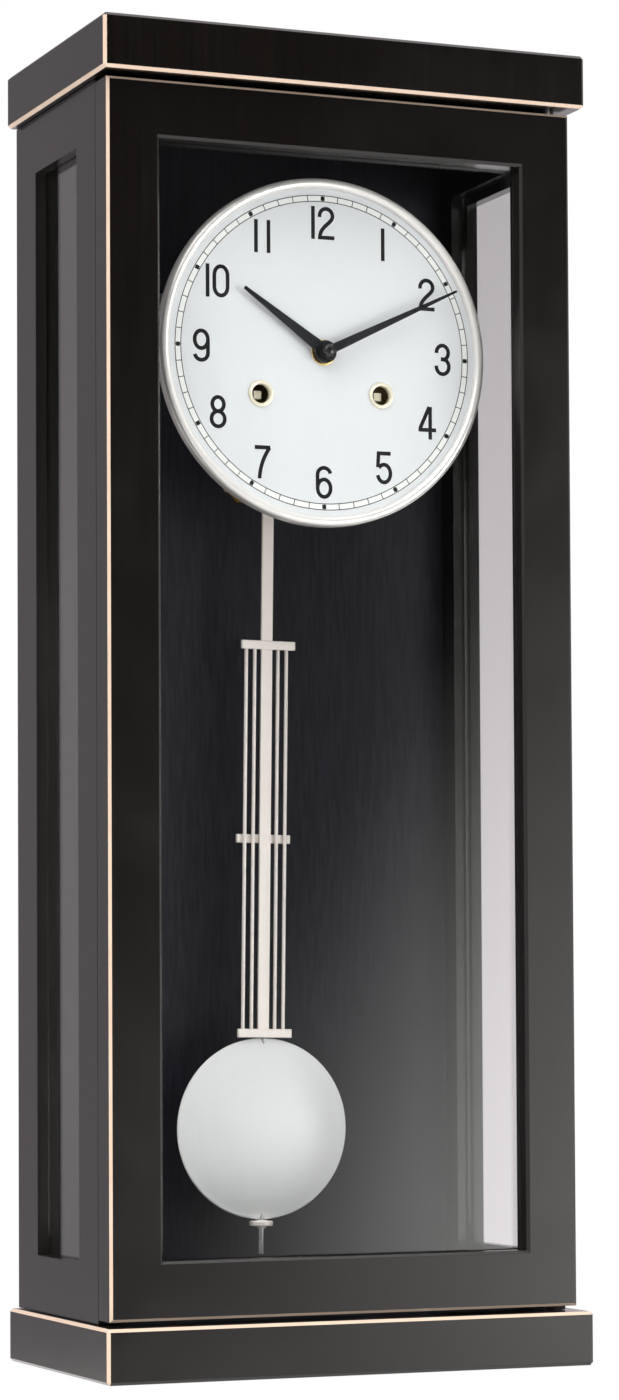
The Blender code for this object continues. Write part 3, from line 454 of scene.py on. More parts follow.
STEEL = worked(
    "bright steel",
    (0.60, 0.60, 0.61),
    (0.44, 0.44, 0.45),
    0.24,
    0.42,
    metallic=1.0,
    stretch=(500.0, 60.0, 500.0),
    bump=0.08,
    worn=(0.78, 0.78, 0.79),
    wear_amount=0.5,
    patches=50.0,
)
BLUED = worked(
    "black lacquered hands",
    (0.006, 0.006, 0.008),
    (0.014, 0.014, 0.018),
    0.22,
    0.32,
    stretch=(400.0, 400.0, 400.0),
    bump=0.03,
    worn=(0.05, 0.05, 0.06),
)
NUT_BLACK = worked(
    "polished black nut",
    (0.010, 0.009, 0.010),
    (0.016, 0.015, 0.016),
    0.06,
    0.14,
    stretch=(300.0, 300.0, 300.0),
    bump=0.02,
    worn=(0.06, 0.06, 0.06),
)
NICKEL = worked(
    "satin nickel",
    (0.97, 0.89, 0.855),
    (0.91, 0.83, 0.795),
    0.36,
    0.46,
    metallic=0.5,
    stretch=(1600.0, 1600.0, 12.0),
    bump=0.06,
    bump_depth=0.00003,
    worn=(0.94, 0.91, 0.88),
    wear_amount=0.4,
)
BOB_NICKEL = worked(
    "spun nickel bob",
    (0.93, 0.93, 0.955),
    (0.89, 0.89, 0.915),
    0.46,
    0.54,
    metallic=0.4,
    centre=BOB,
    rings=1200.0,
    bump=0.04,
    bump_depth=0.00003,
)
PALE_GILT = worked(
    "pale gilt rings",
    (0.93, 0.86, 0.72),
    (0.88, 0.80, 0.64),
    0.30,
    0.42,
    metallic=0.55,
    stretch=(500.0, 500.0, 500.0),
    bump=0.03,
)
RUBBER = worked(
    "black rubber",
    (0.018, 0.018, 0.018),
    (0.034, 0.033, 0.032),
    0.7,
    0.85,
    stretch=(900.0, 900.0, 900.0),
    bump=0.4,
    bump_depth=0.0001,
)
GLASS = case_glass()
FINISH = {
    "black_lacquer": LACQUER,
    "glass": GLASS,
    "brass": BRASS,
    "steel": STEEL,
    "blued_black": BLUED,
    "dial_silver": SILVERED,
    "bezel_chrome": CHROME,
    "nickel": NICKEL,
    "rubber": RUBBER,
}

# ---------------------------------------------------------------- making pieces


def slot_of(node):
    return frame["nodes"][node].data.materials[0].name


def body_of(node):
    return frame["nodes"][node]["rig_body"]


def as_object(name, mesh, materials):
    for material in materials:
        mesh.materials.append(material)
    made = bpy.data.objects.new(name, mesh)
    bpy.context.scene.collection.objects.link(made)
    return made


def settle(
    name, shape, materials, body, stands_for=(), smooth=TURNED_SHADING, flat_faces=False
):
    """Turns a bmesh into a smooth-shaded piece that rides on its body."""
    mesh = bpy.data.meshes.new(name)
    shape.to_mesh(mesh)
    shape.free()
    mesh.shade_smooth()
    mesh.set_sharp_from_angle(angle=math.radians(smooth))
    made = as_object(name, mesh, materials)
    if flat_faces:
        even = made.modifiers.new("flat faces stay flat", "WEIGHTED_NORMAL")
        even.keep_sharp = True
        even.weight = 100
    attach(made, body)
    if stands_for:
        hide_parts(*stands_for)


def merged_copy(node):
    """A copy of a CAD mesh with its triangles merged into whole faces."""
    shape = bmesh.new()
    shape.from_mesh(frame["nodes"][node].data)
    bmesh.ops.remove_doubles(shape, verts=shape.verts, dist=0.002 * MM)
    bmesh.ops.dissolve_limit(
        shape, angle_limit=math.radians(0.5), verts=shape.verts, edges=shape.edges
    )
    shape.normal_update()
    return shape


def ease_edges(shape, width, segments=2):
    """Rounds every sharp convex or concave edge a little."""
    limit = math.radians(SHARP_EDGE)
    sharp = [e for e in shape.edges if e.is_manifold and e.calc_face_angle(0.0) > limit]
    bmesh.ops.bevel(
        shape,
        geom=sharp,
        offset=width,
        segments=segments,
        profile=0.5,
        affect="EDGES",
        clamp_overlap=True,
        material=-1,
    )


def stand_for(node, prefix, shape, materials=None):
    """Settles a shape that stands for one node, in the node's own body and slot."""
    slot = slot_of(node)
    finishes = materials or [FINISH[slot]]
    settle(
        prefix + node, shape, finishes, body_of(node), [node], EASED_SHADING, flat_faces=True
    )


def finished(node, materials=None, width=EDGE, paint=None, segments=2):
    """A node's own shape with eased edges and smooth shading, standing for the node."""
    shape = merged_copy(node)
    if paint:
        for face in shape.faces:
            face.material_index = paint(face)
    ease_edges(shape, width, segments)
    stand_for(node, "finished_", shape, materials)


def lathe(profile, centre, steps):
    """A closed ring or solid turned round a line along Y from (radius, along) points in mm."""
    shape = bmesh.new()
    rings = []
    for radius, along in profile:
        ring = []
        count = 1 if radius == 0 else steps
        for i in range(count):
            angle = FULL_TURN * i / steps
            across, up = radius * math.sin(angle), radius * math.cos(angle)
            ring.append(shape.verts.new(centre + Vector((across, along, up)) * MM))
        rings.append(ring)
    closed = profile[0][0] > 0 or profile[-1][0] > 0
    pairs = list(zip(rings, rings[1:]))
    if closed:
        pairs.append((rings[-1], rings[0]))
    for first, second in pairs:
        for i in range(steps):
            j = (i + 1) % steps
            corners = [first[i % len(first)], first[j % len(first)]]
            corners += [second[j % len(second)], second[i % len(second)]]
            shape.faces.new(list(dict.fromkeys(corners)))
    bmesh.ops.recalc_face_normals(shape, faces=shape.faces)
    return shape


def arc(x, z, rx, rz, start, end, steps=14):
    """Points along part of an ellipse, from one angle to another in degrees."""
    points = []
    for i in range(steps + 1):
        angle = math.radians(start + (end - start) * i / steps)
        points.append((x + rx * math.cos(angle), z + rz * math.sin(angle)))
    return points


def swoop(p0, p1, p2, p3, steps=12):
    """Points along a cubic curve."""
    points = []
    for i in range(steps + 1):
        t = i / steps
        weights = ((1 - t) ** 3, 3 * t * (1 - t) ** 2, 3 * t * t * (1 - t), t**3)
        corners = (p0, p1, p2, p3)
        points.append(tuple(sum(w * p[k] for w, p in zip(weights, corners)) for k in (0, 1)))
    return points


# ---------------------------------------------------------------- Geometry Nodes


def geometry_tree(name, sockets):
    """An empty tree with named inputs: (tree, input sockets, output socket)."""
    tree = bpy.data.node_groups.new(name, "GeometryNodeTree")
    kinds = {int: "NodeSocketInt", float: "NodeSocketFloat", tuple: "NodeSocketVector"}
    tree.interface.new_socket("Geometry", in_out="INPUT", socket_type="NodeSocketGeometry")
    for label, value in sockets.items():
        if value is None:
            tree.interface.new_socket(label, in_out="INPUT", socket_type="NodeSocketMaterial")
            continue
        socket = tree.interface.new_socket(
            label, in_out="INPUT", socket_type=kinds[type(value)]
        )
        socket.default_value = value
    tree.interface.new_socket("Geometry", in_out="OUTPUT", socket_type="NodeSocketGeometry")
    start = tree.nodes.new("NodeGroupInput")
    end = tree.nodes.new("NodeGroupOutput")
    return tree, start.outputs, end.inputs["Geometry"]


def marks_tree():
    """Bars set round a circle that lies in the dial's plane, each turned to the centre."""
    sockets = {"Count": 60, "Radius": 0.08, "Size": (0.001, 0.0001, 0.001), "Centre": (0.0, 0.0, 0.0)}
    tree, given, out = geometry_tree("marks round a circle", {**sockets, "Material": None})
    points = add(tree, "GeometryNodePoints", {"Count": given["Count"]})
    index = add(tree, "GeometryNodeInputIndex").outputs[0]
    step = calc(tree, "DIVIDE", FULL_TURN, given["Count"])
    angle = calc(tree, "MULTIPLY", index, step)
    across = calc(tree, "MULTIPLY", calc(tree, "SINE", angle), given["Radius"])
    upward = calc(tree, "MULTIPLY", calc(tree, "COSINE", angle), given["Radius"])
    spot = add(tree, "ShaderNodeCombineXYZ", {"X": across, "Z": upward}).outputs[0]
    moved = add(tree, "ShaderNodeVectorMath", {0: spot, 1: given["Centre"]}, operation="ADD")
    placed = add(
        tree, "GeometryNodeSetPosition", {"Geometry": points.outputs[0], "Position": moved.outputs[0]}
    )
    bar = add(tree, "GeometryNodeMeshCube", {"Size": given["Size"]})
    turn = add(tree, "ShaderNodeCombineXYZ", {"Y": angle}).outputs[0]
    set_out = add(
        tree,
        "GeometryNodeInstanceOnPoints",
        {"Points": placed.outputs[0], "Instance": bar.outputs[0], "Rotation": turn},
    )
    real = add(tree, "GeometryNodeRealizeInstances", {0: set_out.outputs[0]})
    painted = add(
        tree, "GeometryNodeSetMaterial", {"Geometry": real.outputs[0], "Material": given["Material"]}
    )
    tree.links.new(painted.outputs[0], out)
    return tree


def screws_tree():
    """Slotted round heads on the given points, each facing the way its point says."""
    sockets = {"Head Radius": 0.002, "Head Height": 0.0008, "Slot Width": 0.0005}
    tree, given, out = geometry_tree("slotted screws", {**sockets, "Material": None})
    head = add(
        tree,
        "GeometryNodeMeshCone",
        {
            "Vertices": 24,
            "Radius Top": calc(tree, "MULTIPLY", given["Head Radius"], 0.82),
            "Radius Bottom": given["Head Radius"],
            "Depth": given["Head Height"],
        },
    )
    long_side = calc(tree, "MULTIPLY", given["Head Radius"], 3.0)
    slot_size = add(
        tree,
        "ShaderNodeCombineXYZ",
        {"X": long_side, "Y": given["Slot Width"], "Z": given["Head Height"]},
    ).outputs[0]
    lift = add(tree, "ShaderNodeCombineXYZ", {"Z": given["Head Height"]}).outputs[0]
    slot = add(tree, "GeometryNodeMeshCube", {"Size": slot_size})
    raised = add(
        tree, "GeometryNodeTransform", {"Geometry": slot.outputs[0], "Translation": lift}
    )
    cut = add(
        tree,
        "GeometryNodeMeshBoolean",
        {"Mesh 1": head.outputs[0], "Mesh 2": raised.outputs[0]},
        operation="DIFFERENCE",
    )
    facing = add(
        tree, "GeometryNodeInputNamedAttribute", {"Name": "facing"}, data_type="FLOAT_VECTOR"
    ).outputs["Attribute"]
    aligned = add(
        tree, "FunctionNodeAlignRotationToVector", {"Vector": facing}, axis="Z"
    ).outputs[0]
    spun = add(
        tree, "FunctionNodeRandomValue", {"Min": 0.0, "Max": FULL_TURN, "Seed": 4}, data_type="FLOAT"
    )
    spin = add(tree, "ShaderNodeCombineXYZ", {"Z": spun.outputs[1]}).outputs[0]
    as_turn = add(tree, "FunctionNodeEulerToRotation", {0: spin}).outputs[0]
    turned = add(
        tree,
        "FunctionNodeRotateRotation",
        {"Rotation": aligned, "Rotate By": as_turn},
        rotation_space="LOCAL",
    ).outputs[0]
    set_out = add(
        tree,
        "GeometryNodeInstanceOnPoints",
        {"Points": given["Geometry"], "Instance": cut.outputs[0], "Rotation": turned},
    )
    real = add(tree, "GeometryNodeRealizeInstances", {0: set_out.outputs[0]})
    painted = add(
        tree, "GeometryNodeSetMaterial", {"Geometry": real.outputs[0], "Material": given["Material"]}
    )
    tree.links.new(painted.outputs[0], out)
    return tree


MARKS = marks_tree()
SCREWS = screws_tree()


def grown(name, tree, values, body, points=(), facing=None):
    """The plain mesh that a tree makes with these inputs, riding on its body."""
    seed = bpy.data.meshes.new(name + " seed")
    seed.from_pydata([tuple(p) for p in points], [], [])
    if facing:
        attribute = seed.attributes.new("facing", "FLOAT_VECTOR", "POINT")
        for i, way in enumerate(facing):
            attribute.data[i].vector = way
    source = as_object(name + " source", seed, [])
    modifier = source.modifiers.new("grow", "NODES")
    modifier.node_group = tree
    for item in tree.interface.items_tree:
        if item.in_out == "INPUT" and item.name in values:
            modifier[item.identifier] = values[item.name]
    graph = bpy.context.evaluated_depsgraph_get()
    mesh = bpy.data.meshes.new_from_object(source.evaluated_get(graph))
    source.modifiers.remove(modifier)
    bpy.data.objects.remove(source)
    mesh.name = name
    made = as_object(name, mesh, [])
    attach(made, body)


def screws(name, places, body, slot, radius, height, facing):
    """Slotted screws with their heads seated on the given places."""
    way = Vector(facing)
    seats = [Vector(p) for p in places]
    values = {"Head Radius": radius, "Head Height": height, "Slot Width": radius * 0.28}
    values["Material"] = FINISH[slot]
    grown(name, SCREWS, values, body, seats, [way] * len(seats))


# ---------------------------------------------------------------- case and door


OUTER_EDGE_REACH = 3 * MM
LEAST_LEAN = {2: 0.6, 3: 0.35}


def leans(face, *ways):
    """True if the face is a chamfer or a mitred corner that looks all of these ways at once."""
    seen = {"left": -face.normal.x, "right": face.normal.x, "front": -face.normal.y}
    seen.update({"up": face.normal.z, "down": -face.normal.z})
    return all(seen[way] > LEAST_LEAN[len(ways)] for way in ways)


def any_of(face, *chamfers):
    return int(any(leans(face, *chamfer.split()) for chamfer in chamfers))


# Cream inlay on every lower chamfer. Of the upright front corners only the left-hand one, on the side
# facing the key light, is cream: that line is a painted highlight, and the right-hand corner stays
# black as painted shade.
def cream_on_cornice(face):
    lower = ("front down", "left down", "right down", "left front down", "right front down")
    return any_of(face, "left front", *lower)


# Cream inlay on every upper chamfer. Of the upright front corners only the left-hand one and its lower
# corner, on the side facing the key light, are cream: a painted highlight, and the right-hand corner
# stays black as painted shade.
def cream_on_plinth(face):
    upper = ("front up", "left up", "right up", "left front up", "right front up")
    return any_of(face, "left front", "left front down", *upper)


# Cream inlay along the top and bottom front edges. Of the upright front edges only the left-hand one,
# facing the key light, is cream: a painted highlight, and the right-hand one stays black as painted
# shade.
def cream_on_door(face):
    """Only the door's outer edges are cream; those round the glass stay black."""
    low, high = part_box("door_frame")
    spot = face.calc_center_median()
    inside = min(spot.x - low.x, high.x - spot.x, spot.z - low.z, high.z - spot.z)
    corners = ("left front up", "left front down", "right front up", "right front down")
    cream = any_of(face, "left front", "front up", "front down", *corners)
    return cream if inside < OUTER_EDGE_REACH else 0


def stain_on_rear(face):
    return int(face.normal.y > 0.9)


def build_case():
    finished("cornice", [LACQUER, INLAY_AND_HIGHLIGHT], paint=cream_on_cornice)
    finished("plinth", [LACQUER, INLAY_AND_HIGHLIGHT], paint=cream_on_plinth)
    finished("door_frame", [LACQUER, INLAY_AND_HIGHLIGHT], paint=cream_on_door)
    finished("left_side_panel")
    finished("right_side_panel")
    finished("glass_retainer", width=0.5 * MM)
    finished("back_panel", [BACK_FACE, BACK_STAIN], 0.3 * MM, stain_on_rear)
    finished("hinge_washer", [RUBBER])
    for node in ("left_side_glass", "right_side_glass", "door_glass"):
        finished(node, width=0.25 * MM)


# ---------------------------------------------------------------- dial

# How far the bezel and the winding rings stand in front of the dial, in mm
DIAL_GAP = 0.3

NUMERAL_HALF_WIDTH = (NUMERAL_WIDTH - STROKE) / 2
NUMERAL_HALF_HEIGHT = (NUMERAL_HEIGHT - STROKE) / 2


def numeral_strokes(digit):
    """Centre lines of a condensed numeral, in mm about its middle: [(points, closed)]."""
    w, h = NUMERAL_HALF_WIDTH, NUMERAL_HALF_HEIGHT
    end = STROKE / 2
    if digit == "0":
        top = arc(0, h - 1.25 * w, w, 1.25 * w, 180, 0)
        bottom = arc(0, 1.25 * w - h, w, 1.25 * w, 0, -180)
        return [(top + bottom, True)]
    if digit == "1":
        return [([(0, -h - end), (0, h + end)], False)]
    if digit == "2":
        top = arc(0, h - w * 1.05, w, w * 1.05, 190, 0)
        neck = swoop((w, h - w * 1.05), (w, 0.3), (0.2 - w, -1.6), (-w + 0.1, -h))
        return [(top + neck[1:] + [(w + end, -h)], False)]
    if digit == "3":
        top = arc(-0.1, 3.75, w - 0.25, h - 3.75, 185, -75)
        low = arc(0, -3.55, w, h - 3.55, 90, -185)
        return [(top + [(-1.0, 0.35)], False), ([(-1.0, 0.35)] + low[1:], False)]
    if digit == "4":
        stem = [(1.7, -h - end), (1.7, h + end)]
        slope = [(1.2, h + end), (-w - 0.5, -3.1)]
        bar = [(-w - end - 0.3, -3.6), (w + end + 0.4, -3.6)]
        return [(stem, False), (slope, False), (bar, False)]
    if digit == "5":
        flag = [(w + 0.2, h), (-w + 0.6, h), (-w + 0.15, 0.2)]
        bowl = arc(0, -2.9, w, h - 2.9, 142, -168, 20)
        return [(flag, False), (bowl, False)]
    if digit in ("6", "9"):
        bowl = arc(0, -3.0, w, h - 3.0, 0, 350, 28)
        spine = [(-w, -3.0)] + arc(0, h - w, w, w, 180, 12)
        turn = -1 if digit == "9" else 1
        strokes = [(bowl, True), (spine, False)]
        return [([(turn * x, turn * z) for x, z in line], shut) for line, shut in strokes]
    if digit == "7":
        leg = swoop((w, h), (0.6, 3.2), (-1.6, -1.6), (-2.1, -h - end))
        return [([(-w - end, h), (w + 0.3, h)], False), (leg, False)]
    top = arc(0, 3.9, w - 0.45, h - 3.9, 0, 350, 28)
    low = arc(0, -3.65, w, h - 3.65, 0, 350, 28)
    return [(top, True), (low, True)]


def strap(shape, line, closed, width, front, back, centre):
    """Sweeps a flat bar along a line in the dial's plane, mitred at each point."""
    count = len(line)
    sections = []
    for i, (x, z) in enumerate(line):
        before = line[(i - 1) % count] if closed or i else line[i]
        after = line[(i + 1) % count] if closed or i < count - 1 else line[i]
        into = Vector((x - before[0], z - before[1]))
        away = Vector((after[0] - x, after[1] - z))
        into = into.normalized() if into.length > 1e-9 else away.normalized()
        away = away.normalized() if away.length > 1e-9 else into
        along = (into + away).normalized()
        half = width / 2 / max(0.5, along.dot(into))
        side = Vector((-along.y, along.x)) * half
        section = []
        for sign, depth in ((1, front), (-1, front), (-1, back), (1, back)):
            spot = Vector((x + sign * side.x, 0, z + sign * side.y)) * MM
            section.append(shape.verts.new((centre.x + spot.x, depth, centre.z + spot.z)))
        sections.append(section)
    pairs = list(zip(sections, sections[1:]))
    if closed:
        pairs.append((sections[-1], sections[0]))
    else:
        shape.faces.new(sections[0])
        shape.faces.new(reversed(sections[-1]))
    for first, second in pairs:
        for k in range(4):
            n = (k + 1) % 4
            shape.faces.new((first[k], first[n], second[n], second[k]))


def build_numerals():
    """Twelve numbers, upright, on one circle. A one is a plain bar."""
    ones_gap = 6.94
    tens_one = -5.46
    tens_other = 1.85
    shape = bmesh.new()
    for hour in range(1, 13):
        angle = FULL_TURN * hour / 12
        spot = DIAL + Vector((math.sin(angle), 0, math.cos(angle))) * NUMERAL_RING
        digits = str(hour)
        shifts = {1: [0.0], 2: [tens_one, tens_other]}[len(digits)]
        if hour == 11:
            shifts = [-ones_gap / 2, ones_gap / 2]
        for digit, shift in zip(digits, shifts):
            for layer, (line, closed) in enumerate(numeral_strokes(digit)):
                front = DIAL_FRONT - INK_DEPTH * (1 + 0.1 * layer)
                centre = spot + Vector((shift * MM, 0, 0))
                strap(shape, line, closed, STROKE, front, DIAL_FRONT + INK_DEPTH, centre)
    bmesh.ops.recalc_face_normals(shape, faces=shape.faces)
    settle("dial_numerals", shape, [INK], "case")


def flat_ring(name, inner, outer, height, material):
    """A thin printed ring, standing a hair proud of the dial."""
    front = (DIAL_FRONT - height) / MM
    back = (DIAL_FRONT + INK_DEPTH) / MM
    profile = [(inner / MM, back), (inner / MM, front), (outer / MM, front), (outer / MM, back)]
    settle(name, lathe(profile, DIAL_AXIS, 180), [material], "case")


def build_track():
    inner = TRACK_RADIUS - TRACK_WIDTH / 2
    outer = TRACK_RADIUS + TRACK_WIDTH / 2
    flat_ring("minute_track_ground", inner, outer, INK_DEPTH * 0.4, TRACK_WHITE)
    flat_ring("minute_track_inner_line", inner - TRACK_LINE, inner, INK_DEPTH, INK)
    flat_ring("minute_track_outer_line", outer, outer + TRACK_LINE, INK_DEPTH, INK)
    centre = (DIAL.x, DIAL_FRONT - INK_DEPTH * 0.4, DIAL.z)
    for name, count, across, along in (
        ("minute_marks", 60, TRACK_LINE, TRACK_WIDTH),
        ("five_minute_squares", 12, SQUARE_SIZE, SQUARE_SIZE),
    ):
        size = (across, INK_DEPTH * (1.3 if count == 60 else 1.6), along)
        values = {"Count": count, "Radius": TRACK_RADIUS, "Size": size, "Centre": centre}
        grown(name, MARKS, {**values, "Material": INK}, "case")


def build_bezel():
    """A rounded crown in front of the dial's rim, with a thin skirt behind it."""
    inner = 85.0
    skirt_wall = 1.0
    low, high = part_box("dial_bezel")
    outer = (high.x - low.x) / 2 / MM
    crest, rear = low.y / MM, high.y / MM
    lip = DIAL_FRONT / MM - DIAL_GAP
    crown = arc((inner + outer) / 2, lip, (outer - inner) / 2, lip - crest, 180, 360, 24)
    skirt = [(outer, rear), (outer - skirt_wall, rear)]
    skirt += [(outer - skirt_wall, lip + 0.2), (inner + 0.2, lip + 0.2)]
    bezel = lathe(crown + skirt, DIAL_AXIS, 180)
    settle("turned_bezel", bezel, [CHROME], "case", ["dial_bezel"])


def build_winding_rings():
    """A rolled brass lip round each winding hole, with a short tube through the dial."""
    lip_width = 2.0
    lip_height = 0.7
    tube_inset = 0.65
    tube_length = 2.4
    front = DIAL_FRONT / MM - DIAL_GAP
    for node in ("winding_ring_left", "winding_ring_right"):
        low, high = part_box(node)
        spot = Vector(((low.x + high.x) / 2, 0, (low.z + high.z) / 2))
        rim = (high.x - low.x) / 2 / MM
        bore = rim - lip_width
        wall = rim - tube_inset
        roll = arc((rim + bore) / 2, front, lip_width / 2, lip_height, 360, 180, 10)
        tube = [(bore, front + tube_length), (wall, front + tube_length), (wall, front)]
        ring = lathe(roll + tube, spot, 64)
        settle("turned_" + node, ring, [PALE_GILT], "case", [node])


def build_centre_bush():
    bore = 4.6
    front = DIAL_FRONT / MM
    bush = [(bore, front + 0.6), (bore, front - 0.3)]
    bush += arc(6.0, front - 0.1, 0.8, 0.4, 270, 360, 6) + [(6.8, front - 0.05)]
    settle("centre_bush", lathe(bush, DIAL_AXIS, 64), [BRASS], "case")


def build_dial():
    finished("dial_plate", [SILVERED], SMALL_EDGE)
    build_numerals()
    build_track()
    build_bezel()
    build_winding_rings()
    build_centre_bush()


def build_hands():
    for node in ("minute_hand", "hour_hand"):
        finished(node, [BLUED], 0.18 * MM)
    dome_height = 1.9
    low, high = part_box("hand_nut")
    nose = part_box("centre_wheel")[0].y / MM - 0.5
    back = high.y / MM
    rim = (high.x - low.x) / 2 / MM
    dome = [(0.0, nose)] + arc(0.0, nose + dome_height, rim, dome_height, 278, 360, 10)
    nut = lathe(dome + [(rim, back), (0.0, back)], DIAL_AXIS, 64)
    settle("domed_hand_nut", nut, [NUT_BLACK], "minute_arbor", ["hand_nut"])


# ---------------------------------------------------------------- pendulum


def build_pendulum():
    for node in ("pendulum_bar", "grid_bar_top", "grid_bar_middle", "grid_bar_bottom"):
        finished(node, [NICKEL], 0.35 * MM, segments=3)
    low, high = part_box("bob")
    radius = (high.x - low.x) / 2 / MM
    half = (high.y - low.y) / 2 / MM
    edge = 0.9
    steps = 20
    face = []
    for i in range(steps + 1):
        share = i / steps
        face.append((share * (radius - edge), -edge - (half - edge) * (1 - share**2)))
    rim = arc(radius - edge, 0, edge, edge, 280, 440, 10)
    rear = [(r, -along) for r, along in reversed(face)]
    shape = lathe(face + rim + rear, BOB, 180)
    settle("spun_bob", shape, [BOB_NICKEL], "pendulum", ["bob"], EASED_SHADING)


# ---------------------------------------------------------------- screws


def build_screws():
    low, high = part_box("hanger_plate")
    spots = [(x * 16 * MM, high.y, z * 11 * MM) for x in (-1, 1) for z in (-1, 1)]
    screws("hanger_plate_screws", spots, "case", "steel", 2.2 * MM, 0.6 * MM, (0, 1, 0))

    low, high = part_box("back_panel")
    inset = 7 * MM
    corner = 22 * MM
    rows = 8
    spots = []
    for row in range(rows):
        z = low.z + corner + (high.z - low.z - 2 * corner) * row / (rows - 1)
        spots += [(low.x + inset, high.y, z), (high.x - inset, high.y, z)]
    for x in (-60 * MM, 0.0, 60 * MM):
        spots += [(x, high.y, low.z + inset), (x, high.y, high.z - inset)]
    screws("back_board_screws", spots, "case", "steel", 2.6 * MM, 1.2 * MM, (0, 1, 0))

    fronts, backs = [], []
    for side in ("left", "right"):
        low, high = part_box("movement_bracket_" + side)
        sign = -1 if side == "left" else 1
        for share in (0.25, 0.75):
            z = low.z + (high.z - low.z) * share
            fronts.append((sign * 48 * MM, high.y - 2.5 * MM, z))
            backs.append((sign * 34 * MM, low.y + 2.5 * MM, z))
    screws("bracket_wall_screws", fronts, "case", "steel", 2.4 * MM, 1.4 * MM, (0, -1, 0))
    screws("bracket_plate_screws", backs, "case", "steel", 2.2 * MM, 1.4 * MM, (0, 1, 0))

    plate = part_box("movement_back_plate")[1].y
    pillars = ((-30, -64), (30, -64), (-44, 40), (44, 40))
    spots = [(x * MM, plate, DIAL.z + z * MM) for x, z in pillars]
    screws("pillar_screws", spots, "case", "steel", 3.0 * MM, 1.6 * MM, (0, 1, 0))

    low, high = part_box("glass_retainer")
    inset = 2.8 * MM
    spots = []
    for share in (0.04, 0.2, 0.36, 0.52, 0.68, 0.84, 0.96):
        z = low.z + (high.z - low.z) * share
        spots += [(low.x + inset, high.y, z), (high.x - inset, high.y, z)]
    for share in (0.25, 0.5, 0.75):
        x = low.x + (high.x - low.x) * share
        spots += [(x, high.y, low.z + inset), (x, high.y, high.z - inset)]
    screws("bead_screws", spots, "door", "steel", 1.5 * MM, 0.5 * MM, (0, 1, 0))


# ---------------------------------------------------------------- movement wheels

WINDOW_OVERSHOOT = 0.2 * MM
RIM_SHARE = 0.97


def window_outline(start, end, hub, rim, arm_width):
    """The opening between two arms, in mm about the wheel's centre."""
    outline = []
    for radius, steps in ((hub, 3), (rim, 6)):
        inset = math.asin(arm_width / 2 / radius)
        first, last = start + inset, end - inset
        angles = [first + (last - first) * i / steps for i in range(steps + 1)]
        if radius == hub:
            angles.reverse()
        outline += [(radius * math.sin(a), radius * math.cos(a)) for a in angles]
    return outline


def window_cutter(centre, front, back, arms, hub, rim, arm_width):
    """A plug for each opening of a wheel that reaches from front to back."""
    cutter = bmesh.new()
    span = FULL_TURN / arms
    for k in range(arms):
        outline = window_outline(span * k, span * (k + 1), hub, rim, arm_width)
        ends = []
        for depth in (front, back):
            places = [centre + Vector((x * MM, 0, z * MM)) for x, z in outline]
            ends.append([cutter.verts.new((p.x, depth, p.z)) for p in places])
            cutter.faces.new(ends[-1])
        for i in range(len(outline)):
            j = (i + 1) % len(outline)
            cutter.faces.new((ends[0][i], ends[0][j], ends[1][j], ends[1][i]))
    return cutter


def closed_object(name, shape):
    """A helper object from a bmesh, with its faces pointing out."""
    bmesh.ops.recalc_face_normals(shape, faces=shape.faces)
    mesh = bpy.data.meshes.new(name)
    shape.to_mesh(mesh)
    shape.free()
    return as_object(name, mesh, [])


def crossed(node, arms, hub, rim, arm_width=1.7):
    """A wheel with its crossings cut out: the rim, the hub and a few straight arms are left.

    The wheel's plane is found from its widest vertices, so pinion and arbor stay whole.
    """
    centre = ARBORS[body_of(node)]
    reaches = {}
    for vertex in frame["nodes"][node].data.vertices:
        reaches[vertex.index] = (vertex.co.xz - centre.xz).length
    limit = RIM_SHARE * max(reaches.values())
    depths = [v.co.y for v in frame["nodes"][node].data.vertices if reaches[v.index] > limit]
    front = min(depths) - WINDOW_OVERSHOOT
    back = max(depths) + WINDOW_OVERSHOOT
    blank = closed_object("blank", merged_copy(node))
    tool = closed_object("tool", window_cutter(centre, front, back, arms, hub, rim, arm_width))
    cut = blank.modifiers.new("cut", "BOOLEAN")
    cut.object = tool
    cut.operation = "DIFFERENCE"
    cut.solver = "EXACT"
    graph = bpy.context.evaluated_depsgraph_get()
    result = bpy.data.meshes.new_from_object(blank.evaluated_get(graph))
    for helper in (blank, tool):
        bpy.data.objects.remove(helper)
    shape = bmesh.new()
    shape.from_mesh(result)
    ease_edges(shape, 0.06 * MM, 1)
    stand_for(node, "crossed_", shape)


def build_wheels():
    crossed("centre_wheel", 5, 6.5, 16.0)
    crossed("third_wheel", 5, 5.5, 13.6)
    crossed("intermediate_wheel", 5, 7.0, 18.0)
    crossed("escape_wheel", 5, 3.6, 8.8, 1.3)
    crossed("strike_pin_wheel", 4, 5.2, 9.6)


def build_rest():
    """Every node that nothing stands for yet keeps its own shape, with eased edges."""
    for node in ("going_winding_arbor", "strike_winding_arbor"):
        finished(node, [PALE_GILT], 0.3 * MM)
    for node in sorted(n for n, part in frame["nodes"].items() if not part.hide_render):
        finished(node, width=SMALL_EDGE)


# ---------------------------------------------------------------- studio


# Soft boxes: azimuth, elevation, the angles where each starts and ends fading, and its strength
OVERHEAD = (0, 90, 15, 60, 1.2)
KEY = (-52, 46, 10, 35, 2.7)
LOW_RIGHT = (43, -9, 6, 24, 6.3)
BEHIND = (157, -14, 8, 36, 0.45)
DARK_FLAG = (14, 9, 18, 42, 0.98)

FLOOR_RADIUS = 2.4
FLOOR_DROP = 0.25

CAMERA_PLACE = (-0.7864, -2.0273, -0.4242)
CAMERA_TURN = 22.50
CAMERA_TILT = 2.35
CAMERA_ROLL = -0.301


def heading(azimuth, elevation):
    """A unit vector, with the azimuth in degrees to the right of straight ahead of the clock."""
    a, e = math.radians(azimuth), math.radians(elevation)
    return (math.sin(a) * math.cos(e), -math.cos(a) * math.cos(e), math.sin(e))


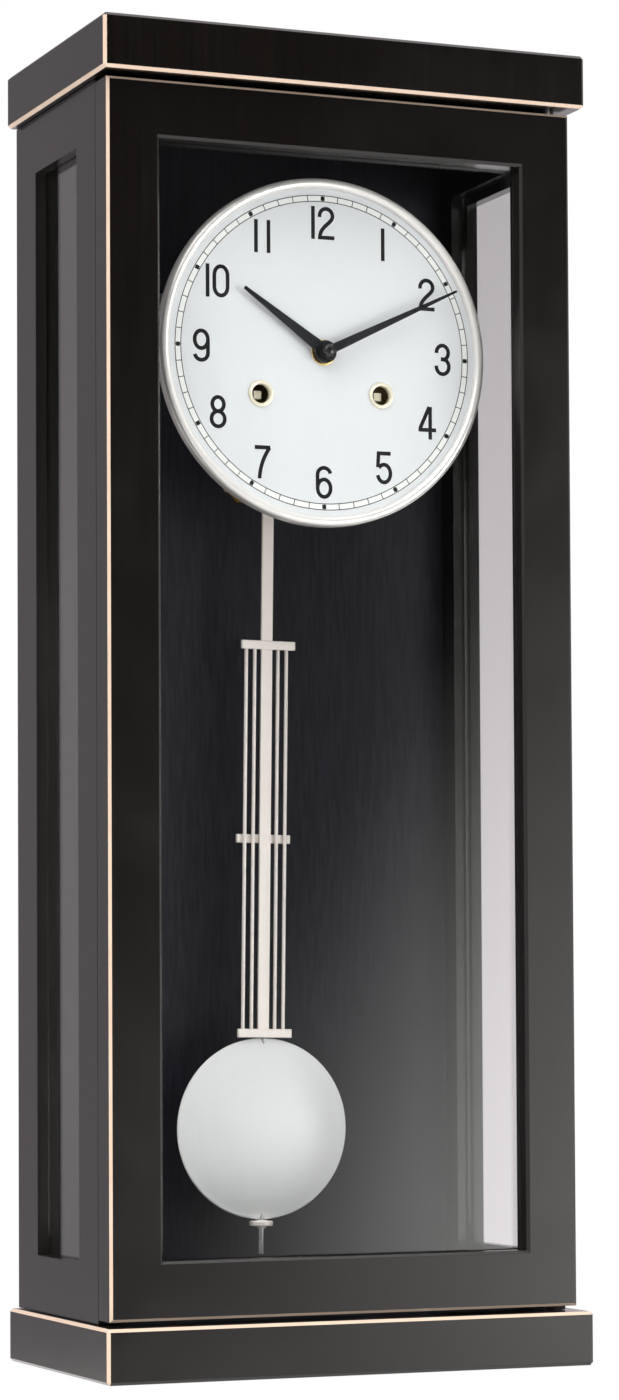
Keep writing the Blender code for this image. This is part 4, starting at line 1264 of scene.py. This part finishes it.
def build_world():
    """A white surround for the eye, and soft boxes round the clock for its reflections."""
    world = bpy.data.worlds.new("studio")
    world.use_nodes = True
    bpy.context.scene.world = world
    tree = world.node_tree
    way = add(tree, "ShaderNodeTexCoord").outputs["Generated"]
    depth = add(tree, "ShaderNodeSeparateXYZ", {0: way}).outputs["Y"]

    def lobe(azimuth, elevation, inner, outer, strength):
        middle_ray = heading(azimuth, elevation)
        toward = add(tree, "ShaderNodeVectorMath", {0: way, 1: middle_ray}, operation="DOT_PRODUCT")
        near, far = math.cos(math.radians(inner)), math.cos(math.radians(outer))
        return spread(tree, toward.outputs["Value"], far, near, 0.0, strength)

    flag = lobe(*DARK_FLAG)
    surround = spread(tree, depth, -0.1, 0.5, 0.82, 0.42)
    total = calc(tree, "MULTIPLY", surround, calc(tree, "SUBTRACT", 1.0, flag))
    for box in (OVERHEAD, KEY, LOW_RIGHT, BEHIND):
        total = calc(tree, "ADD", total, lobe(*box))
    toward_wall = spread(tree, depth, -0.2, 0.3)
    tint = blend(tree, toward_wall, (1.0, 0.985, 0.96, 1.0), (1.0, 0.92, 0.955, 1.0))
    boxes = add(tree, "ShaderNodeBackground", {"Color": tint, "Strength": total})
    plain = add(tree, "ShaderNodeBackground", {"Color": (1.0, 1.0, 1.0, 1.0), "Strength": 1.0})
    eye = add(tree, "ShaderNodeLightPath").outputs["Is Camera Ray"]
    both = add(tree, "ShaderNodeMixShader", {0: eye, 1: boxes.outputs[0], 2: plain.outputs[0]})
    tree.links.new(both.outputs[0], tree.nodes["World Output"].inputs["Surface"])
    background = tree.nodes.get("Background")
    if background and not background.outputs[0].is_linked:
        tree.nodes.remove(background)


def build_floor():
    """A pale round floor, a little way below the hanging clock."""
    low, _ = CAD_BOX
    shape = bmesh.new()
    bmesh.ops.create_circle(shape, cap_ends=True, segments=96, radius=FLOOR_RADIUS)
    place = Matrix.Translation((0, 0, low[2] - FLOOR_DROP))
    bmesh.ops.transform(shape, matrix=place, verts=shape.verts)
    mesh = bpy.data.meshes.new("pale_floor")
    shape.to_mesh(mesh)
    shape.free()
    paper = worked(
        "pale studio floor",
        (0.90, 0.90, 0.895),
        (0.88, 0.88, 0.875),
        0.8,
        0.9,
        stretch=(20.0, 20.0, 20.0),
        bump=0.02,
    )
    as_object("pale_floor", mesh, [paper])


def build_camera():
    """A long lens from the front left, a little below the middle of the case."""
    turn, tilt, roll = (math.radians(v) for v in (CAMERA_TURN, CAMERA_TILT, CAMERA_ROLL))
    level = Vector((math.sin(turn), math.cos(turn), 0.0))
    ahead = level * math.cos(tilt) + Vector((0.0, 0.0, math.sin(tilt)))
    right = Vector((math.cos(turn), -math.sin(turn), 0.0))
    up = right.cross(ahead)
    right, up = (
        right * math.cos(roll) + up * math.sin(roll),
        up * math.cos(roll) - right * math.sin(roll),
    )
    lens = bpy.data.cameras.new("camera")
    lens.sensor_width = 36.0
    lens.lens = 103.5
    lens.shift_x = -0.0178
    lens.shift_y = 0.0974
    lens.dof.use_dof = False
    camera = bpy.data.objects.new("camera", lens)
    bpy.context.scene.collection.objects.link(camera)
    place = Matrix((right, up, -ahead)).transposed().to_4x4()
    place.translation = CAMERA_PLACE
    camera.matrix_world = place
    bpy.context.scene.camera = camera


build_case()
build_dial()
build_hands()
build_pendulum()
build_screws()
build_wheels()
build_rest()
build_world()
build_floor()
build_camera()
bpy.context.scene.view_settings.view_transform = "Standard"
